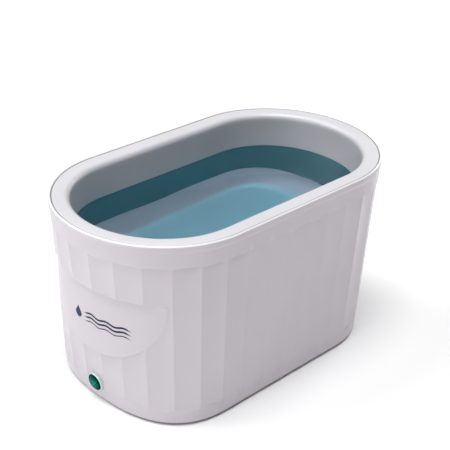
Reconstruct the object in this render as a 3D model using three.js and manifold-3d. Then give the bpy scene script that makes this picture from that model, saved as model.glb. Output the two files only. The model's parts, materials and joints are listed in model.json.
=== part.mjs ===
// Paraffin wax bath: a tapered, fluted plastic housing with an aluminium wax tank hung in it by its
// flange, a band heater round the tank, and the controls in the space under the tank.
// Millimetres, +Z up. The origin is the middle of the footprint on the table. The long axis is Y;
// the pilot lamp is on the -Y end and the mains inlet on the +Y end.

import * as THREE from 'three';
import { mergeVertices } from 'three/addons/utils/BufferGeometryUtils.js';
import Module from 'manifold-3d';

const wasm = await Module();
wasm.setup();

// ---------- driving dimensions ----------

const HEIGHT = 212;                 // table to the top of the lip
const TOP_LENGTH = 400;             // plan at the lip: straight sides and half-round ends
const TOP_WIDTH = 222;
const BOTTOM_LENGTH = 342;          // plan at the foot of the housing: squarer ends
const BOTTOM_WIDTH = 214;
const BOTTOM_END_DEPTH = 88;
const BOTTOM_FULLNESS = 2.5;        // superellipse exponent of the lower ends, 2 is an ellipse
const SKIRT_BOTTOM = 2;             // the housing stops this far above the table
const GAP = 0.3;                    // left between pieces that touch

const FLUTES = 36;
const FLUTE_DEPTH = 0.8;            // hollow of a flute below the chord between its ridges
const FLUTE_BOTTOM = 18.5;
const FLUTE_TOP = 187;
const FLUTE_STEP = 1.5;             // height of the small steps at a flute's two ends

const BAND_INSET = 0.9;             // insets are measured inwards from the tapered plan
const RIDGE_INSET = 1.6;
const BASE_INSET = 2.8;
const WALL_INNER_INSET = 5.8;

const LIP_BOTTOM = 201;
const LIP_WIDTH = 3;
const LEDGE_TOP = 205;              // shelf inside the lip that carries the tank flange
const LEDGE_INSET = 10;
const LEDGE_THICKNESS = 3;

const PLATE_BOTTOM = 9;             // base plate, inside the skirt
const PLATE_TOP = 11;
const PLATE_INSET = 8.6;
const RIM_INSET = 16;               // inward rim of the housing that the base plate pulls up to
const RIM_THICKNESS = 2.7;

const GRIP_TOP = 144;               // D-shaped finger hold moulded round each end
const GRIP_DEPTH = 76;
const GRIP_HALF_ARC = 93;           // half its width, measured round the end
const GRIP_END_RADIUS = 106;
const GRIP_RECESS = 4.5;            // behind the ridges at its top edge
const GRIP_PROUD = 1.8;             // in front of the ridges at its lowest point
const GRIP_WALL = 3;
const GRIP_MARGIN = 3;              // the wall behind it is thickened this far past its outline
const GRIP_STEPS = 17;              // segments round its curved edge

const TANK_SHEET = 1.5;
const TANK_FLANGE_TOP = 211.4;
const TANK_FLANGE_OUTER = LIP_WIDTH + 0.7;
const TANK_FLANGE_INNER = 15.5;
const TANK_EDGE_RADIUS = 6;
const TANK_WALL_INSET = TANK_FLANGE_INNER + TANK_EDGE_RADIUS;
const TANK_FLOOR = 74;
const TANK_FLOOR_RADIUS = 28;       // the wall turns into the floor in one wide sweep
const TANK_UNDERSIDE = TANK_FLOOR - TANK_SHEET;

const HEATER_LOW = 104;             // band heater round the tank, split on the -X side
const HEATER_HIGH = 150;
const HEATER_CLEARANCE = 0.8;
const HEATER_SHEET = 1.6;
const HEATER_INNER = TANK_WALL_INSET - TANK_SHEET - HEATER_CLEARANCE;
const HEATER_OUTER = HEATER_INNER - HEATER_SHEET;
const LUG_HALF_GAP = 4;
const LUG_REACH = 9;
const LUG_HALF_HEIGHT = 14;
const CLAMP_BOLT_RADIUS = 2;
const HEATER_TERMINAL_Y = 20;
const HEATER_TERMINAL = { depth: 6, halfWidth: 4, height: 10 };

const WRAP_LOW = 86;                // insulation round the heater, open over its clamp
const WRAP_HIGH = 184;
const WRAP_THICKNESS = 4;
const WRAP_NOTCH = 30;

const TIE_Y = 108;                  // two rods pull the base plate up towards the tank
const TIE_RADIUS = 2.5;
const WASHER_RADIUS = 6;
const WASHER_THICKNESS = 1;
const TIE_NUT_HIGH = 4;
const FOOT_X = 74;
const FOOT_Y = 118;
const FOOT_RADIUS = 10;
const FOOT_NECK = 3;

const WELD_STUD_RADIUS = 2;         // studs under the tank floor hold the controls
const WELD_STUD_LENGTH = 8;
const SMALL_NUT = { corner: 3.6, thickness: 3 };
const THERMOSTAT_Y = -38;
const THERMOSTAT_STUD_X = 19;
const THERMOSTAT_BOTTOM = 50;
const SPINDLE_RADIUS = 3;           // turned with a screwdriver through the base plate
const SPINDLE_END = 9.5;
const SPINDLE_ACCESS = 6;
const CUTOUT_Y = 44;
const CUTOUT_STUD_X = 26;
const CUTOUT_RADIUS = 8;
const EARTH_STUD_X = -30;
const EARTH_STUD_Y = 84;
const BRACKET_SHEET = 1.5;
const BRACKET_TOP = TANK_UNDERSIDE - GAP;
const BRACKET_BOTTOM = BRACKET_TOP - BRACKET_SHEET;
const TAB_HALF_THICKNESS = 0.4;

const TERMINAL_BLOCK_Y = -78;
const TERMINAL_PITCH = 10;
const TERMINAL_BLOCK_HEIGHT = 14;

const LAMP_Z = 24;
const LAMP_SEAT_INSET = 1.2;
const LAMP_RING_RADIUS = 10;
const LAMP_LENS_RADIUS = 8;
const LAMP_BARREL_RADIUS = 6;
const LAMP_BARREL_WALL = 1.2;

const INLET_Z = 42;
const INLET_FACE_Y = 160;           // flat back of the pocket that holds the mains inlet
const POCKET_HALF_WIDTH = 29;
const POCKET_HALF_HEIGHT = 17;
const POCKET_WALL = 3;
const POCKET_DEPTH = 12;
const INLET_FLANGE = [25, 12];      // half width and half height of its face, barrel and socket
const INLET_BARREL = [13.8, 10];
const INLET_SOCKET = [12, 8.5];
const INLET_PINS = { live: [-7, -1.5], earth: [0, 2.5], neutral: [7, -1.5] };
const INLET_SCREW_X = 20;
const INLET_SCREW_RADIUS = 1.5;

const LEAD_RADIUS = 1.2;
const LEAD_STEP = 8;

const RING_POINTS = 2 * FLUTES;
const BOTH_SIDES = [-1, 1];

// ---------- materials ----------

const paint = (color, roughness, metalness = 0) =>
  new THREE.MeshStandardMaterial({ color, roughness, metalness });

const housingPlastic = paint(0xdcd8de, 0.42);
const tankCoating = paint(0xc9cacf, 0.38, 0.25);
const steel = paint(0xa9acb0, 0.35, 1);
const galvanised = paint(0x9da1a5, 0.5, 1);
const brass = paint(0xc2a35a, 0.32, 1);
const blackRubber = paint(0x2a2b2d, 0.85);
const silicone = paint(0xb9b4b0, 0.7);
const glassWool = paint(0xd9cfa8, 0.95);
const mica = paint(0x8d8577, 0.6, 0.2);
const phenolic = paint(0x1f1f22, 0.5);
const ceramic = paint(0xe8e4da, 0.35);
const clearRing = paint(0xcfe4e4, 0.15);
const greenLens = paint(0x0f6f62, 0.12);
const brownSleeve = paint(0x6b4128, 0.5);
const blueSleeve = paint(0x2d4f8c, 0.5);
const greenYellowSleeve = paint(0x5f9a3a, 0.5);
const redSleeve = paint(0x9c2b26, 0.5);

// ---------- plans ----------

// A closed outline, anticlockwise from the middle of the -Y end: straight sides and
// superelliptical ends.
class PlanOutline extends THREE.Curve {
  constructor(length, width, endDepth, fullness) {
    super();
    this.halfStraight = length / 2 - endDepth;
    this.halfWidth = width / 2;
    this.endDepth = endDepth;
    this.power = 2 / fullness;
    this.arcLengthDivisions = 4000;
  }

  // From the middle of an end (s = 0) round to the middle of a side (s = 1).
  quarterPoint(s) {
    const bend = 0.75;
    if (s >= bend) {
      return [this.halfWidth, this.halfStraight * (1 - s) / (1 - bend)];
    }
    const angle = (s / bend) * Math.PI / 2;
    const x = this.halfWidth * Math.sin(angle) ** this.power;
    const y = this.halfStraight + this.endDepth * Math.cos(angle) ** this.power;
    return [x, y];
  }

  getPoint(t) {
    const quarter = Math.min(3, Math.floor(t * 4));
    const along = t * 4 - quarter;
    const [x, y] = this.quarterPoint(quarter % 2 === 0 ? along : 1 - along);
    const onRight = quarter < 2;
    const onRear = quarter === 1 || quarter === 2;
    return new THREE.Vector3(onRight ? x : -x, onRear ? y : -y, 0);
  }
}

const spaced = (outline) => outline.getSpacedPoints(RING_POINTS).slice(0, RING_POINTS);
const topPlan = spaced(new PlanOutline(TOP_LENGTH, TOP_WIDTH, TOP_WIDTH / 2, 2));
const bottomPlan = spaced(
  new PlanOutline(BOTTOM_LENGTH, BOTTOM_WIDTH, BOTTOM_END_DEPTH, BOTTOM_FULLNESS));

const riseOf = (z) => (z - SKIRT_BOTTOM) / (HEIGHT - SKIRT_BOTTOM);

// Inward unit normal of a closed ring of points at index i.
function inwardNormal(ring, i) {
  const before = ring[(i + ring.length - 1) % ring.length];
  const after = ring[(i + 1) % ring.length];
  return new THREE.Vector3(before.y - after.y, after.x - before.x, 0).normalize();
}

// The tapered plan at height z, moved inwards by inset.
function smoothRing(inset, z) {
  const plan = topPlan.map((top, i) => bottomPlan[i].clone().lerp(top, riseOf(z)));
  return plan.map((point, i) => point.clone().addScaledVector(inwardNormal(plan, i), inset).setZ(z));
}

// The same with a ridge at every odd point and the hollow of a flute at every even one.
function flutedRing(inset, z) {
  const ring = smoothRing(inset, z);
  return ring.map((point, i) => {
    if (i % 2 === 1) {
      return point;
    }
    const chord = ring[(i + ring.length - 1) % ring.length].clone().lerp(ring[i + 1], 0.5);
    return chord.addScaledVector(inwardNormal(ring, i), FLUTE_DEPTH);
  });
}

const endY = (z, inset) => THREE.MathUtils.lerp(BOTTOM_LENGTH, TOP_LENGTH, riseOf(z)) / 2 - inset;
const sideX = (z, inset) => THREE.MathUtils.lerp(BOTTOM_WIDTH, TOP_WIDTH, riseOf(z)) / 2 - inset;

// ---------- solids ----------

function geometryFrom(positions, indices) {
  const geometry = new THREE.BufferGeometry();
  geometry.setAttribute('position', new THREE.Float32BufferAttribute(positions, 3));
  geometry.setIndex(indices);
  return geometry;
}

function ringFaces(ringCount, size, wraps) {
  const indices = [];
  const spans = wraps ? ringCount : ringCount - 1;
  for (let k = 0; k < spans; k += 1) {
    const lower = k * size;
    const upper = ((k + 1) % ringCount) * size;
    for (let i = 0; i < size; i += 1) {
      const next = (i + 1) % size;
      indices.push(lower + i, lower + next, upper + next, lower + i, upper + next, upper + i);
    }
  }
  return indices;
}

// A band that closes on itself: rings go up the outside, over and down the inside.
function hoop(rings) {
  const positions = rings.flat().flatMap((p) => [p.x, p.y, p.z]);
  return geometryFrom(positions, ringFaces(rings.length, rings[0].length, true));
}

// A dish or slab: the first ring closes onto the axis below and the last ring onto the axis above.
function dish(rings) {
  const size = rings[0].length;
  const positions = rings.flat().flatMap((p) => [p.x, p.y, p.z]);
  const indices = ringFaces(rings.length, size, false);
  const first = rings.length * size;
  const last = first + 1;
  positions.push(0, 0, rings[0][0].z, 0, 0, rings.at(-1)[0].z);
  for (let i = 0; i < size; i += 1) {
    const next = (i + 1) % size;
    const end = (rings.length - 1) * size;
    indices.push(first, next, i, last, end + i, end + next);
  }
  return geometryFrom(positions, indices);
}

const box = (x, y, z) => new THREE.BoxGeometry(x, y, z);

// An upright round bar of radius r between two heights.
function bar(r, low, high, x = 0, y = 0, sides = 24) {
  const geometry = new THREE.CylinderGeometry(r, r, high - low, sides).rotateX(Math.PI / 2);
  return geometry.translate(x, y, (low + high) / 2);
}

// A block given by its lowest and highest corners.
function block(low, high) {
  const size = high.map((value, i) => value - low[i]);
  const middle = high.map((value, i) => (value + low[i]) / 2);
  return box(...size).translate(...middle);
}

// A flat upright connector tab, thin along X.
const tab = (x, y, halfWidth, low, high) =>
  block([x - TAB_HALF_THICKNESS, y - halfWidth, low], [x + TAB_HALF_THICKNESS, y + halfWidth, high]);

// A turned piece from [radius, height] pairs, about +Z.
function turned(profile, sides = 24) {
  const points = profile.map(([r, z]) => new THREE.Vector2(r, z));
  return new THREE.LatheGeometry(points, sides).rotateX(Math.PI / 2);
}

function toSolid(geometry) {
  const bare = geometry.clone();
  bare.deleteAttribute('normal');
  bare.deleteAttribute('uv');
  const merged = mergeVertices(bare, 1e-4);
  const mesh = new wasm.Mesh({
    numProp: 3,
    vertProperties: new Float32Array(merged.attributes.position.array),
    triVerts: new Uint32Array(merged.index.array),
  });
  return new wasm.Manifold(mesh);
}

function fromSolid(solid) {
  const mesh = solid.getMesh();
  return geometryFrom(Array.from(mesh.vertProperties), Array.from(mesh.triVerts));
}

const join = (first, ...others) =>
  fromSolid(others.reduce((sum, other) => sum.add(toSolid(other)), toSolid(first)));

const cut = (first, ...tools) =>
  fromSolid(tools.reduce((rest, tool) => rest.subtract(toSolid(tool)), toSolid(first)));

const common = (first, second) => fromSolid(toSolid(first).intersect(toSolid(second)));

// ---------- assembly ----------

const group = new THREE.Group();

function addPiece(name, geometry, material, parent = group) {
  const mesh = new THREE.Mesh(geometry, material);
  mesh.name = name;
  parent.add(mesh);
  return mesh;
}

// ---------- outer housing ----------

function housingShell() {
  return hoop([
    smoothRing(BASE_INSET + 5, SKIRT_BOTTOM),
    smoothRing(BASE_INSET + 1.6, SKIRT_BOTTOM + 1.4),
    smoothRing(BASE_INSET + 0.3, SKIRT_BOTTOM + 4),
    smoothRing(BASE_INSET, SKIRT_BOTTOM + 6),
    smoothRing(BASE_INSET, FLUTE_BOTTOM),
    flutedRing(RIDGE_INSET, FLUTE_BOTTOM + FLUTE_STEP),
    flutedRing(RIDGE_INSET, FLUTE_TOP),
    smoothRing(BAND_INSET, FLUTE_TOP + FLUTE_STEP),
    smoothRing(BAND_INSET, LIP_BOTTOM),
    smoothRing(0.1, LIP_BOTTOM + 1.2),
    smoothRing(0, HEIGHT - 3),
    smoothRing(0.5, HEIGHT - 1),
    smoothRing(1.4, HEIGHT),
    smoothRing(LIP_WIDTH, HEIGHT - 0.2),
    smoothRing(LIP_WIDTH + 0.2, LEDGE_TOP),
    smoothRing(LEDGE_INSET, LEDGE_TOP),
    smoothRing(LEDGE_INSET, LEDGE_TOP - LEDGE_THICKNESS),
    smoothRing(WALL_INNER_INSET, LEDGE_TOP - 2 * LEDGE_THICKNESS),
    smoothRing(WALL_INNER_INSET, PLATE_TOP + GAP + RIM_THICKNESS),
    smoothRing(RIM_INSET, PLATE_TOP + GAP + RIM_THICKNESS),
    smoothRing(RIM_INSET, PLATE_TOP + GAP),
    smoothRing(BASE_INSET + 5, PLATE_TOP + GAP),
  ]);
}

// Inset of the finger hold's surface: it is closer to upright than the housing, so it starts behind
// the flutes and ends in front of them.
function gripInset(z) {
  const top = RIDGE_INSET + GRIP_RECESS;
  const bottom = RIDGE_INSET - GRIP_PROUD;
  return THREE.MathUtils.mapLinear(z, GRIP_TOP - GRIP_DEPTH, GRIP_TOP, bottom, top);
}

// A D-shaped bar through one end, its curved edge grown by margin. Its flat top is always above the
// finger hold. end is -1 or 1 along Y.
function gripBar(end, margin) {
  const reach = GRIP_HALF_ARC + margin;
  const rim = Array.from({ length: GRIP_STEPS + 1 }, (_, k) => {
    const angle = Math.PI * k / GRIP_STEPS;
    const x = GRIP_END_RADIUS * Math.sin(reach * Math.cos(angle) / GRIP_END_RADIUS);
    return new THREE.Vector2(x, GRIP_TOP - (GRIP_DEPTH + margin) * Math.sin(angle));
  });
  const barTop = GRIP_TOP + 2 * GRIP_MARGIN;
  const corners = [new THREE.Vector2(rim.at(-1).x, barTop), new THREE.Vector2(rim[0].x, barTop)];
  const shape = new THREE.Shape([...rim, ...corners]);
  const nearest = 70;
  const length = 160;
  const geometry = new THREE.ExtrudeGeometry(shape, { depth: length, bevelEnabled: false });
  geometry.rotateX(Math.PI / 2);
  return geometry.translate(0, end < 0 ? -nearest : nearest + length, 0);
}

// The wall is thickened behind the hold, filled out in front of its lower half, and then the hold's
// surface is carved through both.
function addGrip(shell, end) {
  const low = GRIP_TOP - GRIP_DEPTH;
  const middle = GRIP_TOP - GRIP_DEPTH * 0.45;
  const backingLow = low - 2 * GRIP_MARGIN;
  const meeting = RIDGE_INSET + 2.4;
  const backWall = gripInset(GRIP_TOP) + GRIP_WALL;
  const thickened = WALL_INNER_INSET + 0.8;
  const outside = -12;
  const backing = hoop([
    smoothRing(meeting, backingLow),
    smoothRing(meeting, GRIP_TOP + GRIP_MARGIN),
    smoothRing(backWall, GRIP_TOP + GRIP_MARGIN),
    smoothRing(backWall, GRIP_TOP),
    smoothRing(thickened, middle),
    smoothRing(thickened, backingLow),
  ]);
  const filling = hoop([
    smoothRing(outside / 2, backingLow),
    smoothRing(outside / 2, middle),
    smoothRing(meeting + 0.5, middle),
    smoothRing(meeting + 0.5, backingLow),
  ]);
  const carving = hoop([
    smoothRing(outside, backingLow),
    smoothRing(outside, GRIP_TOP),
    smoothRing(gripInset(GRIP_TOP), GRIP_TOP),
    smoothRing(gripInset(backingLow), backingLow),
  ]);
  const behind = common(backing, gripBar(end, GRIP_MARGIN));
  const inFront = common(filling, gripBar(end, 0));
  return cut(join(shell, behind, inFront), common(carving, gripBar(end, 0.5)));
}

// The lamp looks straight out of the sloping -Y end.
function lampPlace() {
  const lampTilt = Math.atan2((TOP_LENGTH - BOTTOM_LENGTH) / 2, HEIGHT - SKIRT_BOTTOM);
  const place = new THREE.Group();
  place.position.set(0, -endY(LAMP_Z, LAMP_SEAT_INSET), LAMP_Z);
  place.rotation.x = Math.PI / 2 + lampTilt;
  place.updateMatrixWorld();
  return place;
}

function addLampSeat(shell) {
  const matrix = lampPlace().matrixWorld;
  const seat = bar(LAMP_RING_RADIUS + 0.5, -4, 0).applyMatrix4(matrix);
  const hole = bar(LAMP_BARREL_RADIUS + GAP, -20, 6).applyMatrix4(matrix);
  return cut(join(shell, seat), hole);
}

// A box about the inlet's centre line, from half sizes and its two ends along Y.
function inletBlock([halfWidth, halfHeight], near, far, z = INLET_Z) {
  return block([-halfWidth, near, z - halfHeight], [halfWidth, far, z + halfHeight]);
}

function addInletPocket(shell) {
  const half = [POCKET_HALF_WIDTH, POCKET_HALF_HEIGHT];
  const floor = INLET_FACE_Y - POCKET_WALL;
  const walls = inletBlock(half.map((value) => value + POCKET_WALL), floor, INLET_FACE_Y + POCKET_DEPTH);
  const inside = WALL_INNER_INSET - 1;
  const kept = common(walls, dish([smoothRing(inside, SKIRT_BOTTOM + 4), smoothRing(inside, 100)]));
  const hollow = inletBlock(half, INLET_FACE_Y, INLET_FACE_Y + 3 * POCKET_DEPTH);
  const opening = inletBlock(INLET_BARREL.map((value) => value + GAP + 0.1), floor - 5, INLET_FACE_Y + 5);
  const screwHoles = BOTH_SIDES.map((side) =>
    bar(INLET_SCREW_RADIUS + GAP, -6, 6).rotateX(Math.PI / 2)
      .translate(side * INLET_SCREW_X, INLET_FACE_Y - 2, INLET_Z));
  return cut(join(shell, kept), hollow, opening, ...screwHoles);
}

function makeHousing() {
  const gripped = addGrip(addGrip(housingShell(), -1), 1);
  addPiece('outer_housing', addInletPocket(addLampSeat(gripped)), housingPlastic);
}

// ---------- wax tank ----------

// Rings of one face of the drawn sheet, from the flange's outer edge to the floor. offset is the
// distance below the upper face, so the lower face repeats it with the sheet's thickness.
function tankFace(offset) {
  const rings = [smoothRing(TANK_FLANGE_OUTER, TANK_FLANGE_TOP - offset)];
  const edgeSteps = 3;
  const floorSteps = 6;
  const edgeRadius = TANK_EDGE_RADIUS - offset;
  for (let k = 0; k <= edgeSteps; k += 1) {
    const angle = Math.PI / 2 * k / edgeSteps;
    const inset = TANK_FLANGE_INNER + edgeRadius * Math.sin(angle);
    rings.push(smoothRing(inset, TANK_FLANGE_TOP - TANK_EDGE_RADIUS + edgeRadius * Math.cos(angle)));
  }
  const floorRadius = TANK_FLOOR_RADIUS + offset;
  for (let k = 0; k <= floorSteps; k += 1) {
    const angle = Math.PI / 2 * k / floorSteps;
    const inset = TANK_WALL_INSET + TANK_FLOOR_RADIUS - floorRadius * Math.cos(angle);
    rings.push(smoothRing(inset, TANK_FLOOR + TANK_FLOOR_RADIUS - floorRadius * Math.sin(angle)));
  }
  return rings;
}

const WELD_STUDS = [
  [-THERMOSTAT_STUD_X, THERMOSTAT_Y], [THERMOSTAT_STUD_X, THERMOSTAT_Y],
  [CUTOUT_STUD_X, CUTOUT_Y], [EARTH_STUD_X, EARTH_STUD_Y],
];

function makeTank() {
  const sheet = dish([...tankFace(TANK_SHEET).reverse(), ...tankFace(0)]);
  const studs = WELD_STUDS.map(([x, y]) =>
    bar(WELD_STUD_RADIUS, TANK_UNDERSIDE - WELD_STUD_LENGTH, TANK_UNDERSIDE + 0.5, x, y, 12));
  addPiece('tank', join(sheet, ...studs), tankCoating);

  const gasketOuter = TANK_FLANGE_OUTER + 0.4;
  const gasketInner = LEDGE_INSET - 0.6;
  const gasketTop = TANK_FLANGE_TOP - TANK_SHEET - GAP;
  const gasket = hoop([
    smoothRing(gasketOuter, LEDGE_TOP + GAP),
    smoothRing(gasketOuter, gasketTop),
    smoothRing(gasketInner, gasketTop),
    smoothRing(gasketInner, LEDGE_TOP + GAP),
  ]);
  addPiece('tank_gasket', gasket, silicone);
}

// ---------- band heater and insulation ----------

const heaterFace = (z) => -sideX(z, HEATER_OUTER);
const clampZ = (HEATER_LOW + HEATER_HIGH) / 2;

function heaterLug(side) {
  const face = heaterFace(clampZ);
  const edges = [side * LUG_HALF_GAP, side * (LUG_HALF_GAP + HEATER_SHEET)];
  return block([face - LUG_REACH, Math.min(...edges), clampZ - LUG_HALF_HEIGHT],
    [face + 0.6, Math.max(...edges), clampZ + LUG_HALF_HEIGHT]);
}

function makeHeater() {
  const band = hoop([
    smoothRing(HEATER_OUTER, HEATER_LOW),
    smoothRing(HEATER_OUTER, HEATER_HIGH),
    smoothRing(HEATER_INNER, HEATER_HIGH),
    smoothRing(HEATER_INNER, HEATER_LOW),
  ]);
  const face = heaterFace(clampZ);
  const slot = block([face - 10, -LUG_HALF_GAP, HEATER_LOW - 5],
    [face + 20, LUG_HALF_GAP, HEATER_HIGH + 5]);
  const boltX = face - LUG_REACH / 2;
  const hole = bar(CLAMP_BOLT_RADIUS + GAP, -12, 12).rotateX(Math.PI / 2).translate(boltX, 0, clampZ);
  const clamped = join(cut(band, slot), ...BOTH_SIDES.map(heaterLug));
  addPiece('heater_band', cut(clamped, hole), mica);

  const reach = LUG_HALF_GAP + HEATER_SHEET + GAP;
  const bolt = turned([
    [0, -reach - 3], [SMALL_NUT.corner, -reach - 3], [SMALL_NUT.corner, -reach],
    [CLAMP_BOLT_RADIUS, -reach], [CLAMP_BOLT_RADIUS, reach + 5], [0, reach + 5],
  ], 12).rotateX(-Math.PI / 2);
  addPiece('heater_clamp_bolt', bolt, steel).position.set(boltX, 0, clampZ);
  const nut = hexNut(SMALL_NUT.corner, CLAMP_BOLT_RADIUS + GAP, SMALL_NUT.thickness);
  nut.rotateX(-Math.PI / 2);
  addPiece('heater_clamp_nut', nut, steel).position.set(boltX, reach + GAP, clampZ);

  for (const [name, side] of [['live', -1], ['neutral', 1]]) {
    const y = side * HEATER_TERMINAL_Y;
    const { depth, halfWidth, height } = HEATER_TERMINAL;
    const terminal = block([face - depth, y - halfWidth, HEATER_LOW + 2],
      [face - 0.7, y + halfWidth, HEATER_LOW + 2 + height]);
    addPiece(`heater_terminal_${name}`, terminal, ceramic);
  }
}

function makeInsulation() {
  const inner = HEATER_OUTER - HEATER_CLEARANCE;
  const wrap = hoop([
    smoothRing(inner - WRAP_THICKNESS, WRAP_LOW),
    smoothRing(inner - WRAP_THICKNESS, WRAP_HIGH),
    smoothRing(inner, WRAP_HIGH),
    smoothRing(inner, WRAP_LOW),
  ]);
  const face = heaterFace(clampZ);
  const notch = block([face - 30, -WRAP_NOTCH, WRAP_LOW - 4], [face + 20, WRAP_NOTCH, HEATER_HIGH + 6]);
  addPiece('insulation_wrap', cut(wrap, notch), glassWool);
}

// A hexagonal nut lying on z = 0. across is its corner radius.
function hexNut(across, hole, thickness) {
  const corners = Array.from({ length: 6 }, (_, k) => {
    const angle = Math.PI / 3 * k;
    return new THREE.Vector2(across * Math.cos(angle), across * Math.sin(angle));
  });
  const shape = new THREE.Shape(corners);
  shape.holes.push(new THREE.Path().absarc(0, 0, hole, 0, 2 * Math.PI, true));
  return new THREE.ExtrudeGeometry(shape, { depth: thickness, bevelEnabled: false, curveSegments: 6 });
}

// ---------- base plate, tie rods and feet ----------

const FOOT_CORNERS = {
  front_left: [-1, -1],
  front_right: [1, -1],
  rear_left: [-1, 1],
  rear_right: [1, 1],
};

function makeBasePlate() {
  const plate = dish([smoothRing(PLATE_INSET, PLATE_BOTTOM), smoothRing(PLATE_INSET, PLATE_TOP)]);
  const drill = (r, x, y) => bar(r, PLATE_BOTTOM - 3, PLATE_TOP + 3, x, y, 16);
  const holes = [
    drill(SPINDLE_ACCESS, 0, THERMOSTAT_Y),
    drill(TIE_RADIUS + GAP, 0, -TIE_Y),
    drill(TIE_RADIUS + GAP, 0, TIE_Y),
    ...Object.values(FOOT_CORNERS).map(([x, y]) => drill(FOOT_NECK + GAP, x * FOOT_X, y * FOOT_Y)),
  ];
  addPiece('base_plate', cut(plate, ...holes), galvanised);
}

function makeTieRods() {
  const washerTop = PLATE_BOTTOM - GAP;
  const washerBottom = washerTop - WASHER_THICKNESS;
  const bore = TIE_RADIUS + GAP;
  const washer = turned([
    [bore, washerBottom], [WASHER_RADIUS, washerBottom], [WASHER_RADIUS, washerTop],
    [bore, washerTop], [bore, washerBottom],
  ], 16);
  const nut = hexNut(4.6, bore, TIE_NUT_HIGH);
  for (const [name, side] of [['front', -1], ['rear', 1]]) {
    const y = side * TIE_Y;
    const rod = bar(TIE_RADIUS, PLATE_BOTTOM - 6, TANK_UNDERSIDE - GAP, 0, y, 12);
    addPiece(`tie_rod_${name}`, rod, steel);
    addPiece(`tie_washer_${name}`, washer, steel).position.set(0, y, 0);
    addPiece(`tie_nut_${name}`, nut, steel).position.set(0, y, washerBottom - GAP - TIE_NUT_HIGH);
  }
}

function makeFeet() {
  const top = PLATE_BOTTOM - GAP;
  const snap = PLATE_TOP + GAP;
  const foot = turned([
    [0, 0], [FOOT_RADIUS - 1, 0], [FOOT_RADIUS, 1.5], [FOOT_RADIUS - 1, top], [FOOT_NECK, top],
    [FOOT_NECK, snap], [FOOT_NECK + 1.6, snap], [FOOT_NECK - 1, snap + 3.7], [0, snap + 3.7],
  ], 16);
  for (const [name, [x, y]] of Object.entries(FOOT_CORNERS)) {
    addPiece(`foot_${name}`, foot, blackRubber).position.set(x * FOOT_X, y * FOOT_Y, 0);
  }
}

// ---------- pilot lamp ----------

function makeLamp() {
  const place = lampPlace();
  group.add(place);
  const bore = LAMP_BARREL_RADIUS - LAMP_BARREL_WALL;
  const barrelEnd = -12;
  const rimTop = 1.8;
  const ring = turned([
    [bore, barrelEnd], [LAMP_BARREL_RADIUS, barrelEnd], [LAMP_BARREL_RADIUS, GAP],
    [LAMP_RING_RADIUS, GAP], [LAMP_RING_RADIUS, rimTop - 0.8], [LAMP_RING_RADIUS - 0.6, rimTop],
    [LAMP_LENS_RADIUS + GAP, rimTop], [LAMP_LENS_RADIUS + GAP, rimTop - 0.7], [bore, rimTop - 0.7],
    [bore, barrelEnd],
  ]);
  addPiece('pilot_bezel', ring, clearRing, place);
  const lens = turned([
    [0, 1.4], [LAMP_LENS_RADIUS, 1.4], [LAMP_LENS_RADIUS, 2.4], [LAMP_LENS_RADIUS * 0.88, 3.5],
    [LAMP_LENS_RADIUS * 0.62, 4.3], [LAMP_LENS_RADIUS * 0.3, 4.8], [0, 4.9],
  ]);
  addPiece('pilot_lens', lens, greenLens, place);
  const tabs = BOTH_SIDES.map((side) => tab(side * 2, 0, 1.2, -20, -13));
  addPiece('pilot_lamp', join(bar(bore - GAP, -14, 1), ...tabs), phenolic, place);
  const nut = hexNut(9.5, LAMP_BARREL_RADIUS + 2 * GAP, 3);
  addPiece('pilot_nut', nut, phenolic, place).position.z = -8.6;
}

// ---------- mains inlet ----------

function makeInlet() {
  const place = new THREE.Group();
  place.position.set(0, INLET_FACE_Y + GAP, INLET_Z);
  group.add(place);
  const flangeFront = 3;
  const flange = inletBlock(INLET_FLANGE, 0, flangeFront, 0);
  const barrel = inletBlock(INLET_BARREL, -20, 1, 0);
  const socket = inletBlock(INLET_SOCKET, -15, 5, 0);
  const pin = [1, 2];
  const slot = pin.map((value) => value + GAP);
  const slots = Object.values(INLET_PINS).map(([x, z]) =>
    inletBlock(slot, -25, -10, z).translate(x, 0, 0));
  const holes = BOTH_SIDES.map((side) =>
    bar(INLET_SCREW_RADIUS + GAP, -5, 5, 0, 0, 16).rotateX(Math.PI / 2)
      .translate(side * INLET_SCREW_X, 1, 0));
  addPiece('inlet_body', cut(join(flange, barrel), socket, ...slots, ...holes), phenolic, place);
  for (const [name, [x, z]] of Object.entries(INLET_PINS)) {
    addPiece(`inlet_pin_${name}`, inletBlock(pin, -27, -1, z).translate(x, 0, 0), brass, place);
  }
  const screw = turned([
    [0, -7], [INLET_SCREW_RADIUS, -7], [INLET_SCREW_RADIUS, GAP], [3, GAP], [2.6, 1.6], [0, 2],
  ], 16).rotateX(-Math.PI / 2);
  for (const [name, side] of [['left', -1], ['right', 1]]) {
    addPiece(`inlet_screw_${name}`, screw, steel, place)
      .position.set(side * INLET_SCREW_X, flangeFront, 0);
  }
}

// ---------- controls under the tank ----------

function studNut(name, x, y, seat) {
  const nut = hexNut(SMALL_NUT.corner, WELD_STUD_RADIUS + GAP, SMALL_NUT.thickness);
  addPiece(name, nut, steel).position.set(x, y, seat - GAP - SMALL_NUT.thickness);
}

const studHole = (x, y) =>
  bar(WELD_STUD_RADIUS + GAP, BRACKET_BOTTOM - 2, BRACKET_TOP + 2, x, y, 12);

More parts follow.
